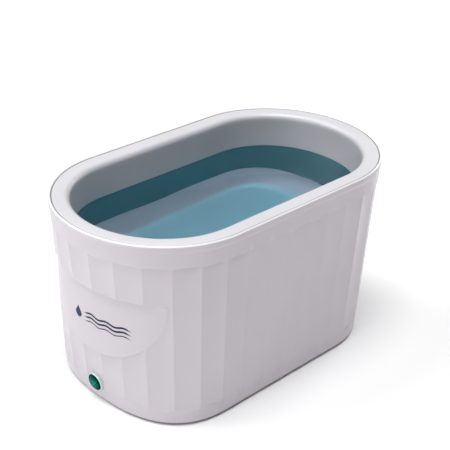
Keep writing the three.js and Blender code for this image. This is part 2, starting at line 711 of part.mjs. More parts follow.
function makeThermostat() {
  const y = THERMOSTAT_Y;
  const plate = block([-26, y - 14, BRACKET_BOTTOM], [26, y + 14, BRACKET_TOP]);
  const holes = BOTH_SIDES.map((side) => studHole(side * THERMOSTAT_STUD_X, y));
  addPiece('thermostat_bracket', cut(plate, ...holes), galvanised);
  for (const [name, side] of [['left', -1], ['right', 1]]) {
    studNut(`thermostat_nut_${name}`, side * THERMOSTAT_STUD_X, y, BRACKET_BOTTOM);
  }

  const bottom = THERMOSTAT_BOTTOM;
  const body = block([-13, y - 16, bottom], [13, y + 16, BRACKET_BOTTOM - GAP]);
  const neck = bar(5.5, bottom - 8, bottom + 1, 0, y);
  const tabs = BOTH_SIDES.map((side) => tab(side * 8, y - 19.5, 4.5, bottom + 8, bottom + 14));
  const bore = bar(SPINDLE_RADIUS + GAP, bottom - 12, bottom + 10, 0, y);
  addPiece('thermostat_body', cut(join(body, neck, ...tabs), bore), phenolic);

  const shaft = bar(SPINDLE_RADIUS, SPINDLE_END, bottom + 8);
  const collar = bar(5, 30, 34);
  const slot = block([-0.6, -6, SPINDLE_END - 2], [0.6, 6, SPINDLE_END + 2]);
  addPiece('thermostat_spindle', cut(join(shaft, collar), slot), brass).position.y = y;
}

function makeCutout() {
  const y = CUTOUT_Y;
  const clip = block([-12, y - 8, BRACKET_BOTTOM], [32, y + 8, BRACKET_TOP]);
  addPiece('cutout_clip', cut(clip, studHole(CUTOUT_STUD_X, y)), galvanised);
  studNut('cutout_nut', CUTOUT_STUD_X, y, BRACKET_BOTTOM);
  const top = BRACKET_BOTTOM - GAP;
  const tabs = BOTH_SIDES.map((side) => tab(side * 5, y, 3, top - 18, top - 9));
  addPiece('thermal_cutout', join(bar(CUTOUT_RADIUS, top - 10, top, 0, y), ...tabs), ceramic);
}

function makeTerminals() {
  const y = TERMINAL_BLOCK_Y;
  const low = PLATE_TOP + GAP;
  const socketFloor = low + 8;
  const terminalXs = [-TERMINAL_PITCH, 0, TERMINAL_PITCH];
  const body = block([-16, y - 8, low], [16, y + 8, low + TERMINAL_BLOCK_HEIGHT]);
  const sockets = terminalXs.map((x) => bar(3, socketFloor, low + 20, x, y, 12));
  addPiece('terminal_block', cut(body, ...sockets), ceramic);
  terminalXs.forEach((x, i) => {
    addPiece(`terminal_screw_${i + 1}`, bar(2.6, socketFloor + GAP, low + 12, x, y, 12), brass);
  });
}

function makeEarth() {
  const [x, y] = [EARTH_STUD_X, EARTH_STUD_Y];
  const top = TANK_UNDERSIDE - GAP;
  const tag = block([x - 4, y - 8, top - 1], [x + 4, y + 4, top]);
  addPiece('earth_tag', cut(tag, studHole(x, y)), brass);
  studNut('earth_nut', x, y, top - 1);
}

// ---------- leads ----------

function lead(name, material, route) {
  const curve = new THREE.CatmullRomCurve3(route.map((p) => new THREE.Vector3(...p)));
  const section = new THREE.Shape().absarc(0, 0, LEAD_RADIUS, 0, 2 * Math.PI);
  const steps = Math.ceil(curve.getLength() / LEAD_STEP);
  const geometry = new THREE.ExtrudeGeometry(section, {
    steps,
    curveSegments: 4,
    extrudePath: curve,
    bevelEnabled: false,
  });
  addPiece(name, geometry, material);
}

function makeLeads() {
  const pinEnd = INLET_FACE_Y - 27.5;
  const heaterX = heaterFace(HEATER_LOW) - 3;
  lead('lead_live', brownSleeve, [[-7, pinEnd, 40.5], [-7, pinEnd - 6, 40.5], [-10, 90, 36],
    [-5, CUTOUT_Y + 6, 42], [-5, CUTOUT_Y, 51.5]]);
  lead('lead_cutout', brownSleeve, [[5, CUTOUT_Y, 51.5], [6, CUTOUT_Y - 6, 42], [18, 0, 36],
    [17, -50, 38], [8, THERMOSTAT_Y - 21, 48], [8, THERMOSTAT_Y - 20, 57]]);
  lead('lead_heater', redSleeve, [[-8, THERMOSTAT_Y - 20, 57], [-9, THERMOSTAT_Y - 21, 48],
    [-40, -56, 38], [-84, -30, 50], [-97, -21, 76], [heaterX, -20, HEATER_LOW - 7],
    [heaterX, -20, HEATER_LOW + 1.4]]);
  lead('lead_neutral', blueSleeve, [[7, pinEnd, 40.5], [7, pinEnd - 6, 40], [-24, 100, 28],
    [-62, 60, 32], [-90, 30, 52], [-97, 21, 76], [heaterX, 20, HEATER_LOW - 7],
    [heaterX, 20, HEATER_LOW + 1.4]]);
  lead('lead_earth', greenYellowSleeve, [[0, pinEnd, 44.5], [0, pinEnd - 6, 45], [-22, 108, 58],
    [-30, EARTH_STUD_Y + 10, 69], [-30, EARTH_STUD_Y + 4.5, 69.4]]);
  const lampBack = -endY(LAMP_Z, 0) + 22.5;
  for (const [name, material, side] of [['left', blueSleeve, -1], ['right', redSleeve, 1]]) {
    lead(`lead_lamp_${name}`, material, [[side * 2, lampBack, 27], [side * 2, lampBack + 6, 27.6],
      [side * 14, -114, 22], [side * 13, -94, 30], [side * 10, TERMINAL_BLOCK_Y - 1, 36],
      [side * 10, TERMINAL_BLOCK_Y, 24.5]]);
  }
}

makeHousing();
makeTank();
makeHeater();
makeInsulation();
makeBasePlate();
makeTieRods();
makeFeet();
makeLamp();
makeInlet();
makeThermostat();
makeCutout();
makeTerminals();
makeEarth();
makeLeads();

export default group;
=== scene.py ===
"""Looks of the paraffin wax bath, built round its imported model. Metres, +Z up, origin under the
middle of the bath. The pilot lamp is on the -Y end and the mains inlet on the +Y end."""

import json
import math

import bmesh
import bpy
import numpy as np
from mathutils import Matrix, Vector


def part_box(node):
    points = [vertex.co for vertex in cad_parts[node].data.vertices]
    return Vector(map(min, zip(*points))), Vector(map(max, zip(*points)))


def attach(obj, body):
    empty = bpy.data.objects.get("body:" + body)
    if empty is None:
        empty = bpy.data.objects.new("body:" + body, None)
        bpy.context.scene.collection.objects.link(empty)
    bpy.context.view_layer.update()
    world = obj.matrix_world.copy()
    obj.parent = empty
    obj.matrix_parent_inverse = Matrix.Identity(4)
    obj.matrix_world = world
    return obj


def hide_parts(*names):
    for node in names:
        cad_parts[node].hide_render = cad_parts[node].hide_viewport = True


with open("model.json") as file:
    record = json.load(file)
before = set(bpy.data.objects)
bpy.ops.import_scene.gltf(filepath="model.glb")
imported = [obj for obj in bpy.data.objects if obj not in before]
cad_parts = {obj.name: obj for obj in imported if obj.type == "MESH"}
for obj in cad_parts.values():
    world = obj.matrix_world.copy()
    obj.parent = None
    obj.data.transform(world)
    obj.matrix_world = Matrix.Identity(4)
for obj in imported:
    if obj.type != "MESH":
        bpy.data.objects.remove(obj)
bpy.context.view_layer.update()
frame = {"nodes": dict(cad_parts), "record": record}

BODY = "bath"
MM = 0.001
SMOOTH_ANGLE = 35

# ---------- camera and studio ----------

CAMERA_AZIMUTH = 43.31
CAMERA_ELEVATION = 28.01
CAMERA_ROLL = 2.98
CAMERA_DISTANCE = 1.2187
CAMERA_LENS = 91.36
CAMERA_SHIFT = 0.0102
LOOK_AT_HEIGHT = 0.1449
LAMP_AIM_HEIGHT = 0.1
WORLD_LIGHT = 0.11
FLOOR_REACH = 6

# ---------- sizes of the housing ----------
# An inset is measured inwards from the tapered outer plan. A height is measured from the floor.

housing_low, housing_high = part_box("outer_housing")

LIP_TOP = housing_high.z
LIP_WIDEST = LIP_TOP - 3 * MM
SKIRT_BOTTOM = housing_low.z
TOP_HALF_LENGTH = housing_high.y
TOP_HALF_WIDTH = housing_high.x
BOTTOM_HALF_LENGTH = 171 * MM
BOTTOM_HALF_WIDTH = 107 * MM
BOTTOM_END_DEPTH = 88 * MM
ROUND = 2
BOTTOM_FULLNESS = 2.5
OUTLINE_STEPS = 1500

FLUTES = 36
FLUTE_DEPTH = 0.8 * MM
FLUTE_BOTTOM = 18.5 * MM
FLUTE_TOP = 187 * MM
BAND_INSET = 0.9 * MM
RIDGE_INSET = 1.6 * MM
FLUTE_RISE = 1.5 * MM
FLUTE_FALL = 1.1 * MM
BASE_INSET = 2.8 * MM
BASE_ROUND = 4 * MM
WALL_INNER_INSET = 5.8 * MM
INNER_WALL_TOP = 188 * MM
INNER_WALL_FOOT = 30 * MM
INNER_WALL_ROWS = 18
FOOT_RIM_TOP = 14 * MM
FOOT_RIM_BOTTOM = 11.3 * MM
FOOT_RIM_INSET = 16 * MM
SKIRT_INNER_INSET = 7.8 * MM
LIP_FOOT = 202.8 * MM
LIP_SWELL = 3.7 * MM
LIP_CREST = 1.7 * MM
LIP_ROUND = 1.2 * MM
LEDGE_TOP = 205 * MM
LEDGE_DEPTH = 3 * MM
LEDGE_INSET = 10 * MM

GRIP_TOP = 144 * MM
GRIP_DEPTH = 76 * MM
GRIP_HALF_ARC = 96 * MM
GRIP_END_RADIUS = 106 * MM
GRIP_RECESS = 4.5 * MM
GRIP_PROUD = 1.8 * MM
GRIP_WALL = 3 * MM
GRIP_EDGE = 0.8 * MM
ROWS_UNDER_GRIP = 9
ROWS_IN_GRIP = 28
GAPS_UNDER_EDGE = (1.5 * MM, 1.0 * MM, 0.5 * MM)
RISES_OVER_GRIP = (0.3 * MM, 0.6 * MM, 0.9 * MM, 1.5 * MM, 4 * MM, 14 * MM, 28 * MM, 40 * MM)

# ---------- sizes of the tank and the wax ----------

SHEET = 1.5 * MM
FLANGE_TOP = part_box("tank")[1].z
VISIBLE_FLANGE = 3.8 * MM
FLANGE_SIDE = 1.1 * MM
FLANGE_INNER = 15.5 * MM
FLANGE_ROUND = 0.8 * MM
EDGE_RADIUS = 6 * MM
WALL_TOP = 200 * MM
GAP_STRIP_FOOT = 207 * MM
GAP_STRIP_DROP = 0.04 * MM
TANK_INSET = FLANGE_INNER + EDGE_RADIUS
TANK_FLOOR = 74 * MM
FLOOR_RADIUS = 28 * MM
CREASE_ANGLE = math.radians(18)
CREASE_DIP = 8 * MM
SWEEP_PULL = 13 * MM
SWEEP_ROWS = 17
END_SWEEP = 14 * MM
FLOOR_HALF_STRAIGHT = 86 * MM
WAX_LEVEL = 173 * MM
WAX_OVERLAP = 0.3 * MM
WAX_WALL = (120 * MM, 171 * MM)
WAX_EDGE = [0, 0.4 * MM, 0.9 * MM, 1.6 * MM, 2.6 * MM, 4 * MM, 6 * MM]
WAX_MIDDLE_ROWS = 24
# Each swell of the wax: its height, its turns across and along the bath, and where it starts.
SWELLS = [(0.18 * MM, 61, 23, 0.0), (0.14 * MM, -37, 71, 1.3), (0.08 * MM, 140, -45, 0.6)]
WAX_REFRACTION = 1.43
MENISCUS = 0.9 * MM
MENISCUS_REACH = 1.6 * MM
CALM_EDGE = 12 * MM

# ---------- sizes of the inlet and its pocket ----------

POCKET_BACK = 160 * MM
POCKET_HALF = (29 * MM, 17 * MM)
POCKET_CORNER = 4 * MM
POCKET_WALL = 3 * MM
POCKET_CORE_HEIGHTS = (14 * MM, 30 * MM, 50 * MM, 66 * MM)
POCKET_CORE_INSET = 4.2 * MM
POCKET_BLOCK = 20 * MM
PAST_WALL = 30 * MM
INLET_Z = 42 * MM
INLET_HOLE_HALF = (14.3 * MM, 10.5 * MM)
PLATE_HALF = (25 * MM, 12 * MM)
PLATE_CORNER = 4 * MM
PLATE_BEVEL = 0.6 * MM
PLATE_THICKNESS = 3 * MM
BARREL_HALF = (13.8 * MM, 10 * MM)
BARREL_LENGTH = 20 * MM
SOCKET_HALF = (12 * MM, 8.5 * MM)
SOCKET_CORNER = 4.5 * MM
SOCKET_DEPTH = 15 * MM
PIN_GAP = 0.3 * MM
SCREW_HOLE = 1.8 * MM
CUT_BEFORE = 5 * MM
CUT_BEYOND = 8 * MM

# ---------- sizes of the pilot lamp ----------
# A height is measured along the lamp's axis, from the housing's seat.

SEAT_RADIUS = 10.6 * MM
SEAT_DEPTH = 5 * MM
RING_RADIUS = 10.3 * MM
RING_HEIGHT = 1.8 * MM
RING_BACK = 0.3 * MM
RING_SEAT = 1.1 * MM
RING_BEAD = 0.5 * MM
BARREL_RADIUS = 6 * MM
BARREL_BORE = 4.8 * MM
BARREL_DEPTH = 12 * MM
LENS_RADIUS = 9.1 * MM
LENS_EDGE = 1.5 * MM
LENS_DOME = 2.6 * MM
LENS_GLOW_RADIUS = 9.5 * MM

# ---------- sizes of the mark ----------

MARK_LIFT = 0.06 * MM
MARK_THICKNESS = 0.15 * MM
MARK_FLUTES = 5
LEAST_WIDTH = 0.12 * MM
DROP_X = -15 * MM
DROP_TOP = 113 * MM
DROP_HEIGHT = 14 * MM
DROP_WIDTH = 10 * MM
DROP_STEPS = 28
WAVE_START = -6 * MM
WAVE_LENGTH = 59 * MM
WAVE_SPAN = 20 * MM
WAVE_SWING = 1.1 * MM
WAVE_STEPS = 80
# Each wave's height on the hold and its thickness.
WAVES = [(110.3 * MM, 2.1 * MM), (105.6 * MM, 2.1 * MM), (100.9 * MM, 1.2 * MM)]


# ---------- the tapered plan ----------

def outline(half_length, half_width, end_depth, fullness, shares):
    """Points at the given shares of the way round, anticlockwise from the middle of the -Y end.

    The ends are halves of superellipses: a fullness of 2 is an ellipse, and more is squarer.
    """
    power = 2 / fullness
    angle = np.linspace(0, math.pi / 2, OUTLINE_STEPS)
    x = half_width * np.sin(angle) ** power
    y = half_length - end_depth + end_depth * np.cos(angle) ** power
    quarter = np.column_stack([x, -y])
    right = np.concatenate([quarter, (quarter * [1, -1])[::-1]])
    loop = np.concatenate([right, (right * [-1, 1])[::-1]])
    steps = np.linalg.norm(np.diff(loop, axis=0), axis=1)
    along = np.concatenate([[0], np.cumsum(steps)]) / steps.sum()
    return np.column_stack([np.interp(shares % 1, along, loop[:, k]) for k in (0, 1)])


def flute_shares():
    """Where a flute's columns stand across it, from -0.5 at one ridge, and closer near the ridges."""
    near_ridge = [-0.5, -0.49, -0.475, -0.45]
    middle = list(np.linspace(-0.4, 0.4, 15))
    near_next = [-value for value in reversed(near_ridge[1:])]
    return np.array(near_ridge + middle + near_next)


ACROSS = flute_shares()
PER_FLUTE = len(ACROSS)
COLUMNS = FLUTES * PER_FLUTE
FLUTE_OF = np.repeat(np.arange(FLUTES), PER_FLUTE)
ACROSS_ALL = np.tile(ACROSS, FLUTES)
SHARES = (FLUTE_OF + ACROSS_ALL) / FLUTES
TOP_PLAN = outline(TOP_HALF_LENGTH, TOP_HALF_WIDTH, TOP_HALF_WIDTH, ROUND, SHARES)
BOTTOM_PLAN = outline(BOTTOM_HALF_LENGTH, BOTTOM_HALF_WIDTH, BOTTOM_END_DEPTH, BOTTOM_FULLNESS, SHARES)


def slope_of(plan):
    """The direction round the plan at each of its points."""
    return np.roll(plan, -1, axis=0) - np.roll(plan, 1, axis=0)


TOP_SLOPE = slope_of(TOP_PLAN)
BOTTOM_SLOPE = slope_of(BOTTOM_PLAN)
END_SHARE = (TOP_SLOPE[:, 0] / np.linalg.norm(TOP_SLOPE, axis=1)) ** 2
RIDGE_BEFORE = FLUTE_OF * PER_FLUTE
RIDGE_AFTER = (RIDGE_BEFORE + PER_FLUTE) % COLUMNS


def plan_points(columns, z, inset):
    """Points of the tapered plan at these columns, each at its own height and inset.

    The plan widens up to the lip's widest height and stays the same above it.
    """
    rise = np.minimum((z - SKIRT_BOTTOM) / (LIP_WIDEST - SKIRT_BOTTOM), 1)[:, None]
    place = BOTTOM_PLAN[columns] * (1 - rise) + TOP_PLAN[columns] * rise
    slope = BOTTOM_SLOPE[columns] * (1 - rise) + TOP_SLOPE[columns] * rise
    inward = np.column_stack([-slope[:, 1], slope[:, 0]])
    inward /= np.linalg.norm(inward, axis=1)[:, None]
    return place + inward * inset[:, None]


def ring(z, inset, flute=0.0):
    """One ring of the wall. Each value may vary round it, and flute is 1 where it is fluted."""
    z, inset, flute = (np.broadcast_to(value, COLUMNS).astype(float) for value in (z, inset, flute))
    smooth = plan_points(np.arange(COLUMNS), z, inset)
    before = plan_points(RIDGE_BEFORE, z, inset)
    after = plan_points(RIDGE_AFTER, z, inset)
    chord = after - before
    inward = np.column_stack([-chord[:, 1], chord[:, 0]])
    inward /= np.linalg.norm(inward, axis=1)[:, None]
    hollow = FLUTE_DEPTH * (1 - 4 * ACROSS_ALL ** 2)
    fluted = before + chord * (ACROSS_ALL + 0.5)[:, None] + inward * hollow[:, None]
    flat = smooth + (fluted - smooth) * flute[:, None]
    return np.column_stack([flat, z])


# ---------- mesh helpers ----------

def mesh_object(name, points, faces, material, smooth_angle=SMOOTH_ANGLE):
    """A new object in the scene with this mesh and one material."""
    mesh = bpy.data.meshes.new(name)
    mesh.from_pydata([tuple(p) for p in points], [], faces)
    mesh.materials.append(material)
    piece = bpy.data.objects.new(name, mesh)
    bpy.context.scene.collection.objects.link(piece)
    shade(piece, smooth_angle)
    return piece


def shade(piece, smooth_angle=SMOOTH_ANGLE):
    """Shades a piece smooth, apart from edges sharper than the angle."""
    mesh = piece.data
    mesh.shade_smooth()
    mesh.set_sharp_from_angle(angle=math.radians(smooth_angle))


def arc(centre, radii, start, end, steps=6):
    """Points of an ellipse's arc, from one angle to another in degrees."""
    angles = np.radians(np.linspace(start, end, steps + 1))
    return [(centre[0] + radii[0] * math.cos(a), centre[1] + radii[1] * math.sin(a)) for a in angles]


def eased(share):
    """Goes from 0 to 1 with a soft start and a soft end."""
    return share * share * (3 - 2 * share)


def tidy_mesh(piece, distance=1e-6):
    """Merges points that coincide and turns the faces outwards."""
    bm = bmesh.new()
    bm.from_mesh(piece.data)
    bmesh.ops.remove_doubles(bm, verts=bm.verts, dist=distance)
    bmesh.ops.dissolve_degenerate(bm, edges=bm.edges, dist=distance)
    bmesh.ops.recalc_face_normals(bm, faces=bm.faces)
    bm.to_mesh(piece.data)
    bm.free()


def band_faces(rings, size, wraps):
    """Faces between rings of this size, and from the last ring to the first if it wraps."""
    faces = []
    for k in range(rings if wraps else rings - 1):
        low = k * size
        high = ((k + 1) % rings) * size
        for i in range(size):
            j = (i + 1) % size
            faces.append((low + i, low + j, high + j, high + i))
    return faces


def hoop(name, rings, material, smooth_angle=SMOOTH_ANGLE):
    """A closed band: the rings go up its outside, over the top and down its inside."""
    faces = band_faces(len(rings), len(rings[0]), True)
    return mesh_object(name, np.concatenate(rings), faces, material, smooth_angle)


def strips_across(first, size):
    """Faces that close a ring with strips from its +X half to its -X half."""
    half = size // 2
    return [(first + i, first + i + 1, first + (size - i - 1) % size, first + (size - i) % size)
            for i in range(half)]


def dish(name, rings, material, smooth_angle=SMOOTH_ANGLE):
    """A closed dish: its first ring closes below and its last one above."""
    size = len(rings[0])
    faces = band_faces(len(rings), size, False)
    faces += [face[::-1] for face in strips_across(0, size)]
    faces += strips_across((len(rings) - 1) * size, size)
    return mesh_object(name, np.concatenate(rings), faces, material, smooth_angle)


def turned(name, profile, material, sides=64, smooth_angle=SMOOTH_ANGLE):
    """A turned piece about +Z from (radius, height) pairs, which start and end on the axis or meet."""
    angles = np.linspace(0, 2 * math.pi, sides, endpoint=False)
    rings = [np.column_stack([r * np.cos(angles), r * np.sin(angles), np.full(sides, z)])
             for r, z in profile]
    if profile[0] == profile[-1]:
        piece = hoop(name, rings[:-1], material, smooth_angle)
    else:
        faces = band_faces(len(rings), sides, False)
        piece = mesh_object(name, np.concatenate(rings), faces, material, smooth_angle)
    tidy_mesh(piece)
    shade(piece, smooth_angle)
    return piece


def prism(name, loop, near, far, material):
    """A closed block along Y from an outline of (x, z) points."""
    size = len(loop)
    points = [(x, near, z) for x, z in loop] + [(x, far, z) for x, z in loop]
    faces = [(i, (i + 1) % size, size + (i + 1) % size, size + i) for i in range(size)]
    faces += [tuple(reversed(range(size))), tuple(range(size, 2 * size))]
    piece = mesh_object(name, points, faces, material)
    tidy_mesh(piece)
    return piece


def rounded_rectangle(half_width, half_height, radius, centre=(0, 0)):
    """The outline of a rectangle with round corners, as (x, z) points."""
    loop = []
    for quarter, (side, level) in enumerate([(1, 1), (-1, 1), (-1, -1), (1, -1)]):
        corner = (centre[0] + side * (half_width - radius), centre[1] + level * (half_height - radius))
        loop += arc(corner, (radius, radius), 90 * quarter, 90 * (quarter + 1))
    return loop


def bake_modifiers(piece):
    """Gives the piece the mesh that its modifiers make, and takes them off."""
    bpy.context.view_layer.update()
    evaluated = piece.evaluated_get(bpy.context.evaluated_depsgraph_get())
    mesh = bpy.data.meshes.new_from_object(evaluated)
    piece.modifiers.clear()
    piece.data = mesh


def combine(piece, tool, operation):
    """Joins, cuts or intersects a piece with a tool, which is used up."""
    modifier = piece.modifiers.new("boolean", "BOOLEAN")
    modifier.operation = operation
    modifier.object = tool
    modifier.solver = "EXACT"
    bake_modifiers(piece)
    bpy.data.objects.remove(tool)


def bevel_edges(piece, width):
    """Rounds the piece's sharp edges."""
    modifier = piece.modifiers.new("bevel", "BEVEL")
    modifier.width = width
    modifier.segments = 2
    modifier.limit_method = "ANGLE"
    modifier.angle_limit = math.radians(30)
    bake_modifiers(piece)
    shade(piece)


def settle(piece, node=None):
    """Fixes a finished piece to the bath, in place of the CAD node that it stands for, if any."""
    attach(piece, BODY)
    if node:
        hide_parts(node)


# ---------- materials ----------

class Nodes:
    """A new material's node tree, with short ways to add the nodes it needs."""

    def __init__(self, name):
        """Starts the material with its shader and object coordinates."""
        self.material = bpy.data.materials.new(name)
        self.material.use_nodes = True
        self.tree = self.material.node_tree
        self.shader = self.tree.nodes["Principled BSDF"]
        self.place = self.tree.nodes.new("ShaderNodeTexCoord").outputs["Object"]

    def set(self, **values):
        """Sets plain values on the shader. An underscore stands for a space."""
        for name, value in values.items():
            self.shader.inputs[name.replace("_", " ")].default_value = value

    def link(self, source, target):
        """Links an output to an input."""
        self.tree.links.new(source, target)

    def stretched(self, scale):
        """Object coordinates scaled along X, Y and Z."""
        mapping = self.tree.nodes.new("ShaderNodeMapping")
        mapping.inputs["Scale"].default_value = scale
        self.link(self.place, mapping.inputs["Vector"])
        return mapping.outputs["Vector"]

    def noise(self, scale, detail=3, place=None, roughness=0.5):
        """Smooth noise from 0 to 1."""
        node = self.tree.nodes.new("ShaderNodeTexNoise")
        node.inputs["Scale"].default_value = scale
        node.inputs["Detail"].default_value = detail
        node.inputs["Roughness"].default_value = roughness
        self.link(place or self.place, node.inputs["Vector"])
        return node.outputs["Fac"]

    def cells(self, scale):
        """The outputs of a pattern of cells."""
        node = self.tree.nodes.new("ShaderNodeTexVoronoi")
        node.inputs["Scale"].default_value = scale
        self.link(self.place, node.inputs["Vector"])
        return node.outputs

    def between(self, value, low, high, out_low, out_high):
        """Takes a value from one range to another."""
        node = self.tree.nodes.new("ShaderNodeMapRange")
        limits = {"From Min": low, "From Max": high, "To Min": out_low, "To Max": out_high}
        for name, number in limits.items():
            node.inputs[name].default_value = number
        self.link(value, node.inputs["Value"])
        return node.outputs["Result"]

    def colours(self, value, *stops):
        """A colour ramp from (position, colour) stops."""
        node = self.tree.nodes.new("ShaderNodeValToRGB")
        ramp = node.color_ramp
        while len(ramp.elements) < len(stops):
            ramp.elements.new(0.5)
        for element, (position, colour) in zip(ramp.elements, stops):
            element.position = position
            element.color = (*colour, 1)
        self.link(value, node.inputs["Fac"])
        return node.outputs["Color"]

    def height(self):
        """Height above the floor, in metres."""
        split = self.tree.nodes.new("ShaderNodeSeparateXYZ")
        self.link(self.place, split.inputs["Vector"])
        return split.outputs["Z"]

    def mix_node(self, blend):
        """A colour mixing node with its factor, its two colours and its result."""
        node = self.tree.nodes.new("ShaderNodeMix")
        node.data_type = "RGBA"
        node.blend_type = blend
        factor, one, other = node.inputs[0], node.inputs[6], node.inputs[7]
        return factor, one, other, node.outputs[2]

    def faded(self, colour, plain, share):
        """Fades from a colour to a plain one as the share goes from 0 to 1."""
        factor, one, other, result = self.mix_node("MIX")
        self.link(share, factor)
        self.link(colour, one)
        other.default_value = (*plain, 1)
        return result

    def times(self, first, second):
        """Multiplies two colours."""
        factor, one, other, result = self.mix_node("MULTIPLY")
        factor.default_value = 1.0
        self.link(first, one)
        self.link(second, other)
        return result

    def bump(self, height, strength, distance, before=None):
        """A bumped normal, on top of an earlier one if it is given."""
        node = self.tree.nodes.new("ShaderNodeBump")
        node.inputs["Strength"].default_value = strength
        node.inputs["Distance"].default_value = distance
        self.link(height, node.inputs["Height"])
        if before is not None:
            self.link(before, node.inputs["Normal"])
        return node.outputs["Normal"]

    def finish(self, colour=None, roughness=None, normal=None):
        """Links what is given to the shader and returns the material."""
        if colour is not None:
            self.link(colour, self.shader.inputs["Base Color"])
        if roughness is not None:
            self.link(roughness, self.shader.inputs["Roughness"])
        if normal is not None:
            self.link(normal, self.shader.inputs["Normal"])
        return self.material


def shades(colour, spread):
    """The same colour a little darker and a little lighter."""
    return tuple(c * (1 - spread) for c in colour), tuple(min(1, c * (1 + spread)) for c in colour)


def mottled(name, colour, spread, scale, rough, bump_scale, bump_mm, **values):
    """A moulded, cast or coated surface: slow colour drift, uneven gloss and a fine grain."""
    n = Nodes(name)
    dark, light = shades(colour, spread)
    drift = n.noise(scale, detail=4)
    tint = n.colours(drift, (0.3, dark), (0.7, light))
    gloss = n.between(n.noise(scale * 3), 0.3, 0.7, rough * 0.88, rough * 1.12)
    grain = n.bump(n.noise(bump_scale, detail=2), 1.0, bump_mm * MM)
    n.set(**values)
    return n.finish(tint, gloss, grain)


def housing_plastic():
    """Light grey gloss plastic with a faint grain, palest over the top of the lip, where a highlight
    is painted.
    """
    n = Nodes("housing_plastic")
    drift = n.noise(9, detail=3)
    drifting = n.colours(drift, (0.3, (0.57, 0.532, 0.574)), (0.7, (0.60, 0.56, 0.604)))
    # Painted highlight: the crown of the lip is painted near white, as if catching the light.
    lip = n.between(n.height(), LIP_TOP - 1.6 * MM, LIP_TOP - 0.5 * MM, 0.0, 1.0)
    tint = n.faded(drifting, (0.93, 0.92, 0.93), lip)
    gloss = n.between(n.noise(60), 0.3, 0.7, 0.3, 0.4)
    waves = n.bump(n.noise(22, detail=2), 0.5, 0.12 * MM)
    grain = n.bump(n.noise(2600, detail=1), 0.35, 0.02 * MM, waves)
    n.set(Coat_Weight=0.3, Coat_Roughness=0.14, Subsurface_Weight=0.06, Subsurface_Scale=0.004)
    return n.finish(tint, gloss, grain)


def tank_finish(name, light_and_shade_by_height):
    """The tank's satin coat, its tone set by height from (millimetres, colour) stops, which paint
    light and shade onto it.
    """
    n = Nodes(name)
    height = n.between(n.height(), 0.0, FLANGE_TOP, 0.0, 1.0)
    stops = [(z * MM / FLANGE_TOP, colour) for z, colour in light_and_shade_by_height]
    tone = n.colours(height, *stops)
    tint = n.colours(n.noise(14, detail=5), (0.3, (0.90, 0.90, 0.93)), (0.7, (0.95, 0.95, 0.98)))
    speckle = n.between(n.noise(900, detail=2), 0.35, 0.7, 0.38, 0.5)
    grain = n.bump(n.noise(1500, detail=2), 0.5, 0.03 * MM)
    n.set(Metallic=0.1, Specular_IOR_Level=0.3)
    return n.finish(n.times(tint, tone), speckle, grain)


# Each stop is a height in millimetres and the tank's tone there, with painted light and shade in it.
# Painted light: the flange and its rounded edge are painted paler than the wall below them.
DRY_PAINTED_LIGHT = [(203, (0.57, 0.553, 0.563)), (211, (0.8, 0.79, 0.8))]
# Painted shade: the wall under the wax is painted dark blue-green.
UNDER_WAX_PAINTED_SHADE = [(90, (0.01, 0.26, 0.29)), (172, (0.014, 0.27, 0.3))]
# Painted light: a bright line at the foot of the sweep, and the sweep painted greyer than the floor.
SWEEP_PAINTED_LIGHT = [
    (74.05, (0.68, 0.93, 0.96)),
    (74.7, (0.86, 1.0, 1.0)),
    (76.0, (0.86, 1.0, 1.0)),
    (79.0, (0.98, 0.8, 0.8)),
    (101, (1.0, 0.84, 0.84)),
]


def melted_wax():
    """Clear blue-green liquid: the tint grows with depth."""
    n = Nodes("melted_wax")
    ripple = n.bump(n.noise(24, detail=1), 0.3, 0.15 * MM)
    n.set(Base_Color=(1, 1, 1, 1), Transmission_Weight=1.0, IOR=WAX_REFRACTION, Roughness=0.0)
    tint = n.tree.nodes.new("ShaderNodeVolumeAbsorption")
    tint.inputs["Color"].default_value = (0.55, 0.83, 0.943, 1)
    tint.inputs["Density"].default_value = 7.0
    output = n.tree.nodes["Material Output"]
    n.link(tint.outputs["Volume"], output.inputs["Volume"])
    return n.finish(normal=ripple)


def galvanised_steel():
    """Zinc-coated sheet with spangles."""
    n = Nodes("galvanised_steel")
    dark, light = shades((0.6, 0.62, 0.64), 0.12)
    cells = n.cells(90)
    tint = n.colours(cells["Color"], (0.1, dark), (0.9, light))
    gloss = n.between(cells["Distance"], 0.0, 0.8, 0.32, 0.48)
    grain = n.bump(n.noise(1200, detail=2, place=n.stretched((1, 0.1, 1))), 0.5, 0.02 * MM)
    n.set(Metallic=1.0)
    return n.finish(tint, gloss, grain)


def brushed_metal(name, colour, rough):
    """Bare metal with fine lines along Z."""
    n = Nodes(name)
    dark, light = shades(colour, 0.1)
    lines = n.noise(700, detail=3, place=n.stretched((1, 1, 0.04)))
    tint = n.colours(lines, (0.3, dark), (0.7, light))
    gloss = n.between(lines, 0.3, 0.7, rough * 0.75, rough * 1.25)
    grain = n.bump(lines, 0.4, 0.02 * MM)
    n.set(Metallic=1.0)
    return n.finish(tint, gloss, grain)


def glass_wool():
    """Matted yellowish strands."""
    n = Nodes("glass_wool")
    strands = n.noise(240, detail=6, place=n.stretched((1, 1, 5)), roughness=0.7)
    tint = n.colours(strands, (0.3, (0.5, 0.42, 0.2)), (0.7, (0.78, 0.7, 0.44)))
    fluff = n.bump(strands, 1.0, 0.9 * MM)
    n.set(Roughness=0.95, Sheen_Weight=0.5, Sheen_Roughness=0.5)
    return n.finish(tint, normal=fluff)


